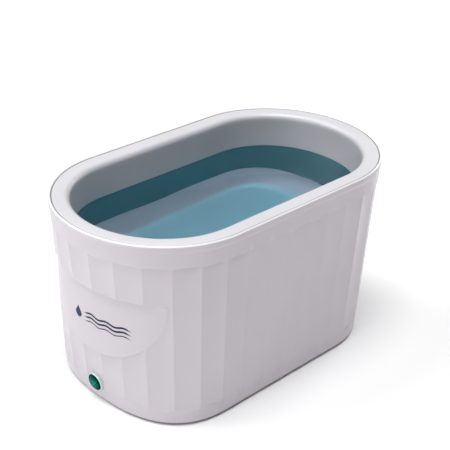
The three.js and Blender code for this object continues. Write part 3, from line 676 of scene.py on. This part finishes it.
def striped_sleeve():
    """The earth lead: green with a yellow stripe that winds round it."""
    n = Nodes("green_yellow_sleeve")
    wave = n.tree.nodes.new("ShaderNodeTexWave")
    wave.inputs["Scale"].default_value = 55
    wave.inputs["Distortion"].default_value = 1.5
    n.link(n.place, wave.inputs["Vector"])
    tint = n.colours(wave.outputs["Fac"], (0.62, (0.06, 0.3, 0.04)), (0.68, (0.72, 0.62, 0.05)))
    gloss = n.between(n.noise(300), 0.3, 0.7, 0.4, 0.6)
    grain = n.bump(n.noise(900), 0.5, 0.03 * MM)
    return n.finish(tint, gloss, grain)


def green_lens():
    """Faceted green plastic with the lamp's light painted into its colour: lit at its middle, dark
    round its edge, with painted glints on each facet.
    """
    n = Nodes("green_lens")
    low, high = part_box("pilot_lens")
    mapping = n.tree.nodes.new("ShaderNodeMapping")
    scale = 1 / LENS_GLOW_RADIUS
    mapping.inputs["Location"].default_value = -(low + high) / 2 * scale
    mapping.inputs["Scale"].default_value = (scale, scale, scale)
    n.link(n.place, mapping.inputs["Vector"])
    glow = n.tree.nodes.new("ShaderNodeTexGradient")
    glow.gradient_type = "SPHERICAL"
    n.link(mapping.outputs["Vector"], glow.inputs["Vector"])
    edge, mid_way, middle = (0.0, 0.02, 0.016), (0.0, 0.09, 0.07), (0.001, 0.27, 0.2)
    lit = n.colours(glow.outputs["Fac"], (0.1, edge), (0.25, mid_way), (0.6, middle))
    cells = n.cells(430)
    # Painted glints: each facet is painted lighter or darker.
    facet_glints = n.colours(cells["Distance"], (0.1, (1.0, 1.0, 1.0)), (0.7, (0.3, 0.36, 0.36)))
    tint = n.times(lit, facet_glints)
    n.set(Roughness=0.4, Specular_IOR_Level=0.03, Emission_Strength=0.25)
    n.link(tint, n.shader.inputs["Emission Color"])
    relief = n.bump(cells["Distance"], 0.5, 0.25 * MM)
    return n.finish(tint, normal=relief)


def printed_ink():
    """Navy print, slightly worn."""
    n = Nodes("printed_ink")
    n.set(Specular_IOR_Level=0.2)
    wear = n.noise(500, detail=3)
    tint = n.colours(wear, (0.25, (0.006, 0.01, 0.05)), (0.8, (0.014, 0.02, 0.08)))
    gloss = n.between(wear, 0.3, 0.7, 0.3, 0.5)
    return n.finish(tint, gloss)


def floor_paper():
    """The studio's pale floor."""
    n = Nodes("floor_paper")
    drift = n.noise(1.5, detail=2)
    tint = n.colours(drift, (0.3, (0.93, 0.93, 0.935)), (0.7, (0.95, 0.95, 0.955)))
    n.set(Roughness=0.8)
    return n.finish(tint)


def sleeve(name, colour):
    """The plastic sleeve of a lead."""
    return mottled(name, colour, 0.12, 90, 0.5, 900, 0.03)


MATERIALS = {
    "housing_plastic": housing_plastic(),
    "tank_coating": tank_finish("tank_coating", DRY_PAINTED_LIGHT),
    "silicone": mottled("silicone", (0.4, 0.38, 0.37), 0.08, 60, 0.7, 700, 0.05),
    "heater_steel": brushed_metal("heater_steel", (0.5, 0.46, 0.4), 0.42),
    "steel": brushed_metal("steel", (0.62, 0.63, 0.65), 0.3),
    "galvanised_steel": galvanised_steel(),
    "ceramic": mottled("ceramic", (0.8, 0.77, 0.69), 0.04, 120, 0.25, 600, 0.03, Coat_Weight=0.6),
    "glass_wool": glass_wool(),
    "foot_rubber": mottled("foot_rubber", (0.03, 0.03, 0.032), 0.2, 120, 0.8, 1500, 0.06),
    "clear_ring": mottled("clear_ring", (0.66, 0.83, 0.82), 0.04, 200, 0.12, 600, 0.01,
                          Coat_Weight=1.0, Coat_Roughness=0.03),
    "green_lens": green_lens(),
    "black_phenolic": mottled("black_phenolic", (0.022, 0.022, 0.025), 0.2, 100, 0.38, 1200, 0.03),
    "brass": brushed_metal("brass", (0.66, 0.47, 0.18), 0.3),
    "brown_sleeve": sleeve("brown_sleeve", (0.17, 0.07, 0.03)),
    "blue_sleeve": sleeve("blue_sleeve", (0.03, 0.09, 0.32)),
    "red_sleeve": sleeve("red_sleeve", (0.38, 0.03, 0.02)),
    "green_yellow_sleeve": striped_sleeve(),
}
# The wall under the wax takes painted shade.
UNDER_WAX_SHADE_FINISH = tank_finish("tank_under_wax_painted_shade", UNDER_WAX_PAINTED_SHADE)
# The sweep and floor take the painted highlight and the greyer painted band.
SWEEP_LIGHT_FINISH = tank_finish("tank_sweep_painted_light", SWEEP_PAINTED_LIGHT)
# Painted shade: a dark strip stands in for the shade in the gap round the flange.
GAP_SHADE_MATERIAL = mottled("painted_gap_shade", (0.26, 0.26, 0.27), 0.15, 60, 0.7, 700, 0.05)
WAX = melted_wax()
INK = printed_ink()


def paint_cad_nodes():
    """Every CAD node that stays gets the procedural finish of its slot."""
    for part in frame["record"]["subparts"]:
        node = frame["nodes"][part["node"]]
        node.data.materials.clear()
        node.data.materials.append(MATERIALS[part["material_slot"]])


# ---------- outer housing ----------

def grip_inset(z, x=0.0):
    """Inset of the finger hold's face: behind the flutes at its top and in front at its foot."""
    foot = RIDGE_INSET - GRIP_PROUD
    face = foot + (GRIP_PROUD + GRIP_RECESS) * (z - GRIP_TOP + GRIP_DEPTH) / GRIP_DEPTH
    outward = np.clip(arc_from_middle(x) / GRIP_HALF_ARC, -1, 1) ** 4
    return face * (1 - outward) + RIDGE_INSET * outward


def arc_from_middle(x):
    """Distance round the end from its middle."""
    return GRIP_END_RADIUS * np.arcsin(np.clip(x / GRIP_END_RADIUS, -1, 1))


def grip_share(x, z, margin=0.0):
    """1 inside the D-shaped hold, 0 outside it, with a soft step over its edge."""
    across = arc_from_middle(x) / GRIP_HALF_ARC
    down = (GRIP_TOP - z) / GRIP_DEPTH
    reach = np.maximum(np.hypot(across, down), 1e-6)
    steepness = np.hypot(across / GRIP_HALF_ARC, down / GRIP_DEPTH) / reach
    inside = np.minimum((1 - reach) / np.maximum(steepness, 1e-6), GRIP_TOP - z) + margin
    return eased(np.clip((inside + GRIP_EDGE) / (2 * GRIP_EDGE), 0, 1))


def grip_edge():
    """Height of the hold's curved edge at each column, and its top where a column misses it.

    The wall tapers, so a column's x depends on the height sought: a few rounds settle it.
    """
    z = np.full(COLUMNS, GRIP_TOP)
    for _ in range(4):
        x = plan_points(np.arange(COLUMNS), z, np.full(COLUMNS, RIDGE_INSET))[:, 0]
        across = arc_from_middle(x) / GRIP_HALF_ARC
        z = GRIP_TOP - GRIP_DEPTH * np.sqrt(np.clip(1 - across ** 2, 0, 1))
    misses = np.abs(BOTTOM_PLAN[:, 1]) < BOTTOM_HALF_LENGTH - BOTTOM_END_DEPTH
    return np.where(misses, GRIP_TOP, z)


def fluted_ring(z):
    """A ring in the fluted height, with the finger holds let into both ends."""
    fluted = ring(z, RIDGE_INSET, 1.0)
    face = ring(z, grip_inset(z, fluted[:, 0]))
    share = grip_share(fluted[:, 0], fluted[:, 2])[:, None]
    return fluted * (1 - share) + face * share


def housing_heights():
    """Heights of the fluted rings: they follow the hold's curved edge and then its flat top."""
    edge = grip_edge()
    start = FLUTE_BOTTOM + FLUTE_RISE
    reach = edge - GAPS_UNDER_EDGE[0] - start
    heights = [start + reach * k / ROWS_UNDER_GRIP for k in range(ROWS_UNDER_GRIP)]
    heights += [edge - gap for gap in GAPS_UNDER_EDGE]
    for turn in np.linspace(0, math.pi, ROWS_IN_GRIP + 1):
        heights.append(edge + (GRIP_TOP - edge) * (1 - math.cos(turn)) / 2)
    heights += [np.full(COLUMNS, GRIP_TOP + rise) for rise in RISES_OVER_GRIP]
    heights.append(np.full(COLUMNS, FLUTE_TOP - 0.2 * MM))
    return heights


def base_rings():
    """The rounded foot of the wall, its plain band and the start of the flutes."""
    centre = (BASE_INSET + BASE_ROUND, SKIRT_BOTTOM + BASE_ROUND)
    rings = [ring(z, inset) for inset, z in arc(centre, (BASE_ROUND, BASE_ROUND), 270, 180)]
    rings.append(ring(FLUTE_BOTTOM, BASE_INSET))
    for share in (0.25, 0.5, 0.75):
        inset = BASE_INSET + (RIDGE_INSET - BASE_INSET) * share
        rings.append(ring(FLUTE_BOTTOM + FLUTE_RISE * share, inset, eased(share)))
    return rings


def lip_rings():
    """The end of the flutes, the plain band above them and the rounded lip."""
    rings = []
    for share in (0.25, 0.5, 0.75, 1.0):
        left = 1 - eased(share)
        inset = BAND_INSET + (RIDGE_INSET - BAND_INSET) * left
        rings.append(ring(FLUTE_TOP + FLUTE_FALL * share, inset, left))
    rings.append(ring(LIP_FOOT - 6 * MM, BAND_INSET))
    for share in np.linspace(0, 1, 7):
        rings.append(ring(LIP_FOOT + LIP_SWELL * share, BAND_INSET * (1 - eased(share))))
    outer = arc((LIP_CREST, LIP_WIDEST), (LIP_CREST, LIP_TOP - LIP_WIDEST), 180, 90)
    inner = arc((LIP_CREST, LIP_TOP - LIP_ROUND), (LIP_ROUND, LIP_ROUND), 90, 0, 5)
    rings += [ring(z, inset) for inset, z in outer + inner[1:]]
    rings.append(ring(LEDGE_TOP, LIP_CREST + LIP_ROUND + 0.3 * MM))
    return rings


def inner_rings():
    """The ledge under the tank's flange, the inside of the wall and the inward rim."""
    ledge_foot = LEDGE_TOP - LEDGE_DEPTH
    rings = [ring(LEDGE_TOP, LEDGE_INSET), ring(ledge_foot, LEDGE_INSET)]
    rings.append(ring(ledge_foot - LEDGE_DEPTH, WALL_INNER_INSET))
    for z in np.linspace(INNER_WALL_TOP, INNER_WALL_FOOT, INNER_WALL_ROWS):
        smooth = ring(z, WALL_INNER_INSET)
        backing = grip_share(smooth[:, 0], smooth[:, 2], margin=GRIP_WALL)
        behind = max(grip_inset(z) + GRIP_WALL, WALL_INNER_INSET)
        rings.append(ring(z, WALL_INNER_INSET + (behind - WALL_INNER_INSET) * backing))
    rings += [ring(FOOT_RIM_TOP, WALL_INNER_INSET), ring(FOOT_RIM_TOP, FOOT_RIM_INSET)]
    rings += [ring(FOOT_RIM_BOTTOM, FOOT_RIM_INSET), ring(FOOT_RIM_BOTTOM, SKIRT_INNER_INSET)]
    return rings


def add_inlet_pocket(housing, plastic):
    """Sinks a walled pocket for the inlet into the rear end, with a hole in its back."""
    core_rings = [ring(z, POCKET_CORE_INSET)[::4] for z in POCKET_CORE_HEIGHTS]
    core = dish("pocket_core", core_rings, plastic)
    centre = (0, INLET_Z)
    walls = [half + POCKET_WALL for half in POCKET_HALF]
    outside = rounded_rectangle(*walls, POCKET_CORNER + 1 * MM, centre)
    near = POCKET_BACK - POCKET_WALL
    block = prism("pocket_block", outside, near, POCKET_BACK + POCKET_BLOCK, plastic)
    combine(block, core, "INTERSECT")
    combine(housing, block, "UNION")
    inside = rounded_rectangle(*POCKET_HALF, POCKET_CORNER, centre)
    hollow = prism("pocket_hollow", inside, POCKET_BACK, POCKET_BACK + PAST_WALL, plastic)
    combine(housing, hollow, "DIFFERENCE")
    opening = rounded_rectangle(*INLET_HOLE_HALF, 1 * MM, centre)
    hole = prism("inlet_hole", opening, near - POCKET_WALL, POCKET_BACK + POCKET_WALL, plastic)
    combine(housing, hole, "DIFFERENCE")


def on_lamp(piece):
    """Moves a piece made about +Z onto the lamp's axis, from the CAD ring's place."""
    vertices = frame["nodes"]["pilot_bezel"].data.vertices
    points = np.array([vertex.co for vertex in vertices])
    tilt = math.atan2(TOP_HALF_LENGTH - BOTTOM_HALF_LENGTH, LIP_WIDEST - SKIRT_BOTTOM)
    out = Vector((0, -math.cos(tilt), -math.sin(tilt)))
    depth = points @ np.array(out)
    front = points[depth > depth.max() - 0.05 * MM].mean(axis=0)
    turn = Vector((0, 0, 1)).rotation_difference(out).to_matrix().to_4x4()
    piece.data.transform(Matrix.Translation(Vector(front) - out * RING_HEIGHT) @ turn)


def add_lamp_seat(housing, plastic):
    """A flat round seat that closes the flutes behind the lamp's ring."""
    side = [(SEAT_RADIUS, -SEAT_DEPTH), (SEAT_RADIUS, -0.4 * MM), (SEAT_RADIUS - 0.3 * MM, 0)]
    seat = turned("lamp_seat", [(0, -SEAT_DEPTH)] + side + [(0, 0)], plastic)
    on_lamp(seat)
    combine(housing, seat, "UNION")


def make_housing():
    """The fluted tub."""
    rings = base_rings() + [fluted_ring(z) for z in housing_heights()] + lip_rings() + inner_rings()
    plastic = MATERIALS["housing_plastic"]
    housing = hoop("housing_shell", rings, plastic)
    tidy_mesh(housing)
    add_inlet_pocket(housing, plastic)
    add_lamp_seat(housing, plastic)
    shade(housing, 28)
    settle(housing, "outer_housing")


# ---------- tank and wax ----------

def crease_height():
    """The crease between wall and sweep dips towards both ends."""
    return TANK_FLOOR + FLOOR_RADIUS - CREASE_DIP * END_SHARE


def sweep_rings(offset):
    """Rings of the sweep, a cubic curve from the crease at the foot of the wall to the floor."""
    wall, top = TANK_INSET - offset, crease_height()
    edge, low = TANK_INSET + FLOOR_RADIUS + END_SWEEP * END_SHARE, TANK_FLOOR - offset
    near_wall = (wall + SWEEP_PULL * math.sin(CREASE_ANGLE), top - SWEEP_PULL * math.cos(CREASE_ANGLE))
    near_floor = (edge - SWEEP_PULL, low)
    corners = ((wall, top), near_wall, near_floor, (edge, low))
    rings = []
    for t in np.linspace(0, 1, SWEEP_ROWS):
        weights = ((1 - t) ** 3, 3 * t * (1 - t) ** 2, 3 * t * t * (1 - t), t ** 3)
        inset, z = (sum(w * c[i] for w, c in zip(weights, corners)) for i in (0, 1))
        rings.append(ring(z, inset))
    return rings


def toward_middle(points, share):
    """The same ring drawn in towards the bath's middle line."""
    spine = np.clip(points[:, 1], -FLOOR_HALF_STRAIGHT, FLOOR_HALF_STRAIGHT)
    inner = points.copy()
    inner[:, 0] *= share
    inner[:, 1] = spine + (points[:, 1] - spine) * share
    return inner


def edge_rings(offset):
    """Rings over the flange, round its inner edge and down the wall to the wax.

    The offset is 0 on the tank's upper face and the sheet's thickness on its lower one.
    """
    points = [(VISIBLE_FLANGE, FLANGE_TOP - FLANGE_SIDE)]
    if offset == 0:
        centre = (VISIBLE_FLANGE + FLANGE_ROUND, FLANGE_TOP - FLANGE_ROUND)
        points += arc(centre, (FLANGE_ROUND, FLANGE_ROUND), 180, 90, 4)
    points += [(VISIBLE_FLANGE + (FLANGE_INNER - VISIBLE_FLANGE) * share, FLANGE_TOP - offset)
               for share in (0.25, 0.5, 0.75)]
    edge = EDGE_RADIUS - offset
    points += arc((FLANGE_INNER, FLANGE_TOP - EDGE_RADIUS), (edge, edge), 90, 0, 8)
    points += [(TANK_INSET - offset, z) for z in np.linspace(WALL_TOP, WAX_LEVEL, 5)]
    return [ring(z, inset) for inset, z in points]


def wetted_rings(offset):
    """Rings of the wall from the wax's surface to just above the crease."""
    return [ring(WAX_LEVEL + (crease_height() - WAX_LEVEL) * share, TANK_INSET - offset)
            for share in (0.25, 0.5, 0.75, 0.98)]


def floor_rings(offset):
    """Rings of the sweep, and then across the floor to its middle line."""
    rings = sweep_rings(offset)
    rings += [toward_middle(rings[-1], share) for share in (0.8, 0.55, 0.3, 0.1)]
    return rings


def thinned(rings):
    """Every second column, which is enough where there are no flutes."""
    return [points[::2] for points in rings]


def make_tank():
    """The pressed tank, with painted shade below the wax and painted light below the crease."""
    under = edge_rings(SHEET) + wetted_rings(SHEET) + floor_rings(SHEET)
    dry, wetted, floor = edge_rings(0.0), wetted_rings(0.0), floor_rings(0.0)
    rings = thinned(under[::-1] + dry + wetted + floor)
    tank = dish("tank_liner", rings, MATERIALS["tank_coating"])
    tank.data.materials.append(UNDER_WAX_SHADE_FINISH)
    tank.data.materials.append(SWEEP_LIGHT_FINISH)
    # The faces run band by band, each between two rings.
    first_wetted = len(under) + len(dry) - 1
    first_floor = first_wetted + len(wetted)
    # Bands under the wax get the painted shade, and bands of the sweep and floor the painted
    # highlight.
    for face in tank.data.polygons:
        band = min(face.index // len(rings[0]), len(rings) - 1)
        face.material_index = int(band >= first_wetted) + int(band >= first_floor)
    settle(tank, "tank")


def make_gap_shade_strip():
    """A dark strip in the gap between the housing's lip and the tank's flange: painted shade for the
    shaded gap.
    """
    lip, crown = LIP_CREST + LIP_ROUND, FLANGE_TOP - GAP_STRIP_DROP
    profile = [(lip + 0.4 * MM, GAP_STRIP_FOOT), (lip + 0.15 * MM, crown - 0.26 * MM),
               (lip + 0.4 * MM, crown - 0.03 * MM), (VISIBLE_FLANGE - 0.2 * MM, crown),
               (VISIBLE_FLANGE, crown - 0.11 * MM), (VISIBLE_FLANGE, GAP_STRIP_FOOT)]
    rings = thinned([ring(z, inset) for inset, z in profile])
    settle(hoop("rim_gap_shade_strip", rings, GAP_SHADE_MATERIAL))


def wax_height(points, distance):
    """The surface: a slow swell, and the climb of the liquid up the wall."""
    swell = sum(high * np.sin(across * points[:, 0] + along * points[:, 1] + start)
                for high, across, along, start in SWELLS)
    calm = 1 - np.exp(-distance / CALM_EDGE)
    climb = MENISCUS * math.exp(-distance / MENISCUS_REACH)
    return WAX_LEVEL + swell * calm + climb


def make_wax():
    """The melted wax, which overlaps the tank's faces a little so that no gap shows."""
    rings = floor_rings(WAX_OVERLAP)[::-1]
    wall = TANK_INSET - WAX_OVERLAP
    rings += [ring(z, wall) for z in np.linspace(*WAX_WALL, 4)]
    surface = [ring(WAX_LEVEL, wall + distance) for distance in WAX_EDGE]
    distances = list(WAX_EDGE)
    for share in np.linspace(0, 1, WAX_MIDDLE_ROWS + 1)[1:-1]:
        surface.append(toward_middle(surface[len(WAX_EDGE) - 1], 1 - share))
        distances.append(WAX_EDGE[-1] + (TOP_HALF_WIDTH - TANK_INSET) * share)
    for flat, distance in zip(surface, distances):
        flat[:, 2] = wax_height(flat, distance)
    rings += surface
    settle(dish("melted_wax", thinned(rings), WAX, smooth_angle=60))


# ---------- pilot lamp ----------

def make_lamp():
    """The clear ring with its barrel, and the domed lens that stands in it."""
    bead = RING_HEIGHT - RING_SEAT
    profile = [(BARREL_BORE, -BARREL_DEPTH), (BARREL_RADIUS, -BARREL_DEPTH)]
    profile += [(BARREL_RADIUS, RING_BACK), (RING_RADIUS, RING_BACK)]
    profile += arc((RING_RADIUS - RING_BEAD, RING_SEAT), (RING_BEAD, bead), 0, 180, 8)
    profile += [(BARREL_BORE, RING_SEAT), (BARREL_BORE, -BARREL_DEPTH)]
    bezel = turned("pilot_ring", profile, MATERIALS["clear_ring"], 96)
    on_lamp(bezel)
    settle(bezel, "pilot_bezel")

    profile = [(0, RING_SEAT), (LENS_RADIUS, RING_SEAT)]
    profile += arc((0, LENS_EDGE), (LENS_RADIUS, LENS_DOME), 0, 90, 12)
    lens = turned("pilot_dome", profile, MATERIALS["green_lens"], 64)
    on_lamp(lens)
    settle(lens, "pilot_lens")


# ---------- generic mark on the front hold ----------

def on_hold(x, z, lift):
    """The point of the front hold's face at this x and z, lifted off it."""
    columns = np.arange(-MARK_FLUTES * PER_FLUTE, MARK_FLUTES * PER_FLUTE) % COLUMNS
    heights = np.full(len(columns), z)
    wall = plan_points(columns, heights, np.full(len(columns), RIDGE_INSET))
    face = plan_points(columns, heights, grip_inset(z, wall[:, 0]) - lift)
    order = np.argsort(face[:, 0])
    return (x, float(np.interp(x, face[order, 0], face[order, 1])), z)


def inked_strip(name, centre_line, widths):
    """A thin printed stroke on the hold, from (x, z) points and its width at each."""
    count = len(centre_line)
    across = np.linspace(-0.5, 0.5, 5)
    points = []
    for k, (x, z) in enumerate(centre_line):
        ahead = Vector(centre_line[min(k + 1, count - 1)])
        behind = Vector(centre_line[max(k - 1, 0)])
        along = (ahead - behind).normalized()
        for lift in (MARK_LIFT, MARK_LIFT - MARK_THICKNESS):
            for share in across:
                aside = widths[k] * share
                points.append(on_hold(x - along.y * aside, z + along.x * aside, lift))
    size = len(across)
    section = 2 * size
    loop = list(range(size)) + list(range(section - 1, size - 1, -1))
    faces = []
    for low in range(0, section * (count - 1), section):
        for a, b in zip(loop, loop[1:] + loop[:1]):
            faces.append((low + a, low + b, low + section + b, low + section + a))
    faces += [tuple(reversed(loop)), tuple(section * (count - 1) + a for a in loop)]
    piece = mesh_object(name, points, faces, INK)
    tidy_mesh(piece, 1e-7)
    return piece


def make_drop():
    """A drop, pointed at its top and fullest below its middle."""
    line = []
    widths = []
    for k in range(DROP_STEPS + 1):
        share = k / DROP_STEPS
        fullness = abs(math.sin(math.pi * share ** 1.6)) ** 0.75
        line.append((DROP_X, DROP_TOP - DROP_HEIGHT * share))
        widths.append(max(LEAST_WIDTH, DROP_WIDTH * fullness))
    settle(inked_strip("mark_drop", line, widths))


def make_wave(name, height, thickness):
    """One wave, which thins out at both ends."""
    line = []
    widths = []
    for k in range(WAVE_STEPS + 1):
        share = k / WAVE_STEPS
        x = WAVE_START + WAVE_LENGTH * share
        line.append((x, height + WAVE_SWING * math.sin(x / WAVE_SPAN * 2 * math.pi)))
        widths.append(max(LEAST_WIDTH, thickness * min(1, 10 * share, 10 * (1 - share))))
    settle(inked_strip(name, line, widths))


def make_mark():
    """A drop of wax beside three waves."""
    make_drop()
    for number, (height, thickness) in enumerate(WAVES, start=1):
        make_wave(f"mark_wave_{number}", height, thickness)


# ---------- mains inlet ----------

def socket_outline():
    """The recess for the connector: a box with its two upper corners cut off."""
    wide, tall = SOCKET_HALF
    low, shoulder, high = INLET_Z - tall, INLET_Z + tall - SOCKET_CORNER, INLET_Z + tall
    right = [(wide, low), (wide, shoulder), (wide - SOCKET_CORNER, high)]
    return right + [(-x, z) for x, z in reversed(right)]


def across_box(node):
    """The centre and the half size of a CAD node's box, seen along Y."""
    low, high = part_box(node)
    centre = ((low.x + high.x) / 2, (low.z + high.z) / 2)
    return centre, ((high.x - low.x) / 2, (high.z - low.z) / 2)


def make_inlet():
    """The inlet's moulding: a screwed plate, a barrel, the recess and the slots for its pins."""
    phenolic = MATERIALS["black_phenolic"]
    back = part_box("inlet_body")[0].y
    face = back + BARREL_LENGTH
    centre = (0, INLET_Z)
    outer = rounded_rectangle(*PLATE_HALF, PLATE_CORNER, centre)
    plate = prism("inlet_shell", outer, face, face + PLATE_THICKNESS, phenolic)
    bevel_edges(plate, PLATE_BEVEL)
    barrel = rounded_rectangle(*BARREL_HALF, 1 * MM, centre)
    combine(plate, prism("inlet_barrel", barrel, back, face + 1 * MM, phenolic), "UNION")
    socket = prism("inlet_socket", socket_outline(), face - SOCKET_DEPTH, face + 6 * MM, phenolic)
    combine(plate, socket, "DIFFERENCE")
    for pin in ("live", "earth", "neutral"):
        middle, half = across_box(f"inlet_pin_{pin}")
        loop = rounded_rectangle(half[0] + PIN_GAP, half[1] + PIN_GAP, 0.4 * MM, middle)
        slot = prism("inlet_slot", loop, back - CUT_BEFORE, back + CUT_BEYOND, phenolic)
        combine(plate, slot, "DIFFERENCE")
    for side in ("left", "right"):
        middle, _ = across_box(f"inlet_screw_{side}")
        loop = rounded_rectangle(SCREW_HOLE, SCREW_HOLE, SCREW_HOLE - 0.1 * MM, (middle[0], INLET_Z))
        hole = prism("inlet_screw_hole", loop, face - CUT_BEFORE, face + CUT_BEYOND, phenolic)
        combine(plate, hole, "DIFFERENCE")
    shade(plate, 30)
    settle(plate, "inlet_body")


# ---------- feet ----------

def make_feet():
    """Four rubber feet: a grooved sole, a tapered side and a barb that holds in the base.

    The profile is in millimetres: distance from the foot's axis, and height.
    """
    groove = [(5.6, 0), (5.9, 0.25), (6.3, 0.25), (6.6, 0)]
    sole = arc((8.4, 1.5), (1.55, 1.5), -90, 0)
    shoulder = arc((8.2, 7.7), (0.9, 1.0), 0, 90, 4)
    barb = [(3, 8.7), (3, 11.3), (4.6, 11.3), (4.3, 12.2), (2, 15)]
    outline_mm = [(0, 0)] + groove + sole + shoulder + barb + [(0, 15)]
    profile = [(radius * MM, height * MM) for radius, height in outline_mm]
    for corner in ("front_left", "front_right", "rear_left", "rear_right"):
        low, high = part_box(f"foot_{corner}")
        foot = turned(f"rubber_foot_{corner}", profile, MATERIALS["foot_rubber"], 56, 50)
        foot.data.transform(Matrix.Translation(((low.x + high.x) / 2, (low.y + high.y) / 2, 0)))
        settle(foot, f"foot_{corner}")


# ---------- studio ----------

def toward(azimuth, elevation):
    """The direction of something seen from the bath, with azimuth 0 at the lamp's end."""
    azimuth, elevation = math.radians(azimuth), math.radians(elevation)
    level = math.cos(elevation)
    return Vector((math.sin(azimuth) * level, -math.cos(azimuth) * level, math.sin(elevation)))


def make_camera():
    """The camera at the photo's viewing angle."""
    back = toward(CAMERA_AZIMUTH, CAMERA_ELEVATION)
    right = toward(CAMERA_AZIMUTH + 90, 0)
    up = back.cross(right)
    roll = math.radians(CAMERA_ROLL)
    across = right * math.cos(roll) + up * math.sin(roll)
    upward = up * math.cos(roll) - right * math.sin(roll)
    data = bpy.data.cameras.new("camera")
    data.sensor_width = 36
    data.lens = CAMERA_LENS
    data.shift_x = CAMERA_SHIFT
    camera = bpy.data.objects.new("camera", data)
    turn = Matrix((across, upward, back)).transposed().to_4x4()
    place = Vector((0, 0, LOOK_AT_HEIGHT)) + back * CAMERA_DISTANCE
    camera.matrix_world = Matrix.Translation(place) @ turn
    bpy.context.scene.collection.objects.link(camera)
    bpy.context.scene.camera = camera


def hang(data, away, distance):
    """Hangs a light in that direction, facing the bath."""
    light = bpy.data.objects.new(data.name, data)
    light.location = away * distance + Vector((0, 0, LAMP_AIM_HEIGHT))
    light.rotation_euler = away.to_track_quat("Z", "Y").to_euler()
    bpy.context.scene.collection.objects.link(light)


def area_light(name, azimuth, elevation, distance, size, power):
    """A soft round lamp."""
    data = bpy.data.lights.new(name, "AREA")
    data.shape = "DISK"
    data.size = size
    data.energy = power
    hang(data, toward(azimuth, elevation), distance)


def sun_light(name, azimuth, elevation, spread, strength):
    """Even light from one side, as soft as its spread in degrees."""
    data = bpy.data.lights.new(name, "SUN")
    data.energy = strength
    data.angle = math.radians(spread)
    hang(data, toward(azimuth, elevation), 1)


def make_world():
    """Weak white light from all round, which the camera sees as a pale backdrop."""
    world = bpy.data.worlds.new("studio")
    bpy.context.scene.world = world
    world.use_nodes = True
    tree = world.node_tree
    weak = tree.nodes["Background"]
    weak.inputs["Color"].default_value = (1.0, 1.0, 1.0, 1)
    weak.inputs["Strength"].default_value = WORLD_LIGHT
    pale = tree.nodes.new("ShaderNodeBackground")
    pale.inputs["Color"].default_value = (0.93, 0.93, 0.94, 1)
    seen = tree.nodes.new("ShaderNodeLightPath")
    choice = tree.nodes.new("ShaderNodeMixShader")
    tree.links.new(seen.outputs["Is Camera Ray"], choice.inputs["Fac"])
    tree.links.new(weak.outputs["Background"], choice.inputs[1])
    tree.links.new(pale.outputs["Background"], choice.inputs[2])
    tree.links.new(choice.outputs["Shader"], tree.nodes["World Output"].inputs["Surface"])


def make_studio():
    """Soft light over a plain pale floor."""
    bpy.context.scene.view_settings.view_transform = "Standard"
    make_world()
    sun_light("key", -52, 46, 36, 1.25)
    sun_light("overhead", 40, 80, 40, 2.3)
    area_light("near_fill", 10, 24, 0.9, 0.4, 1.5)
    area_light("rim", 184, 18, 1.3, 0.6, 3.5)
    corners = [(x * FLOOR_REACH, y * FLOOR_REACH, 0) for x, y in ((-1, -1), (1, -1), (1, 1), (-1, 1))]
    mesh_object("floor", corners, [(0, 1, 2, 3)], floor_paper())


make_camera()
make_studio()
paint_cad_nodes()
make_housing()
make_tank()
make_gap_shade_strip()
make_wax()
make_lamp()
make_mark()
make_inlet()
make_feet()
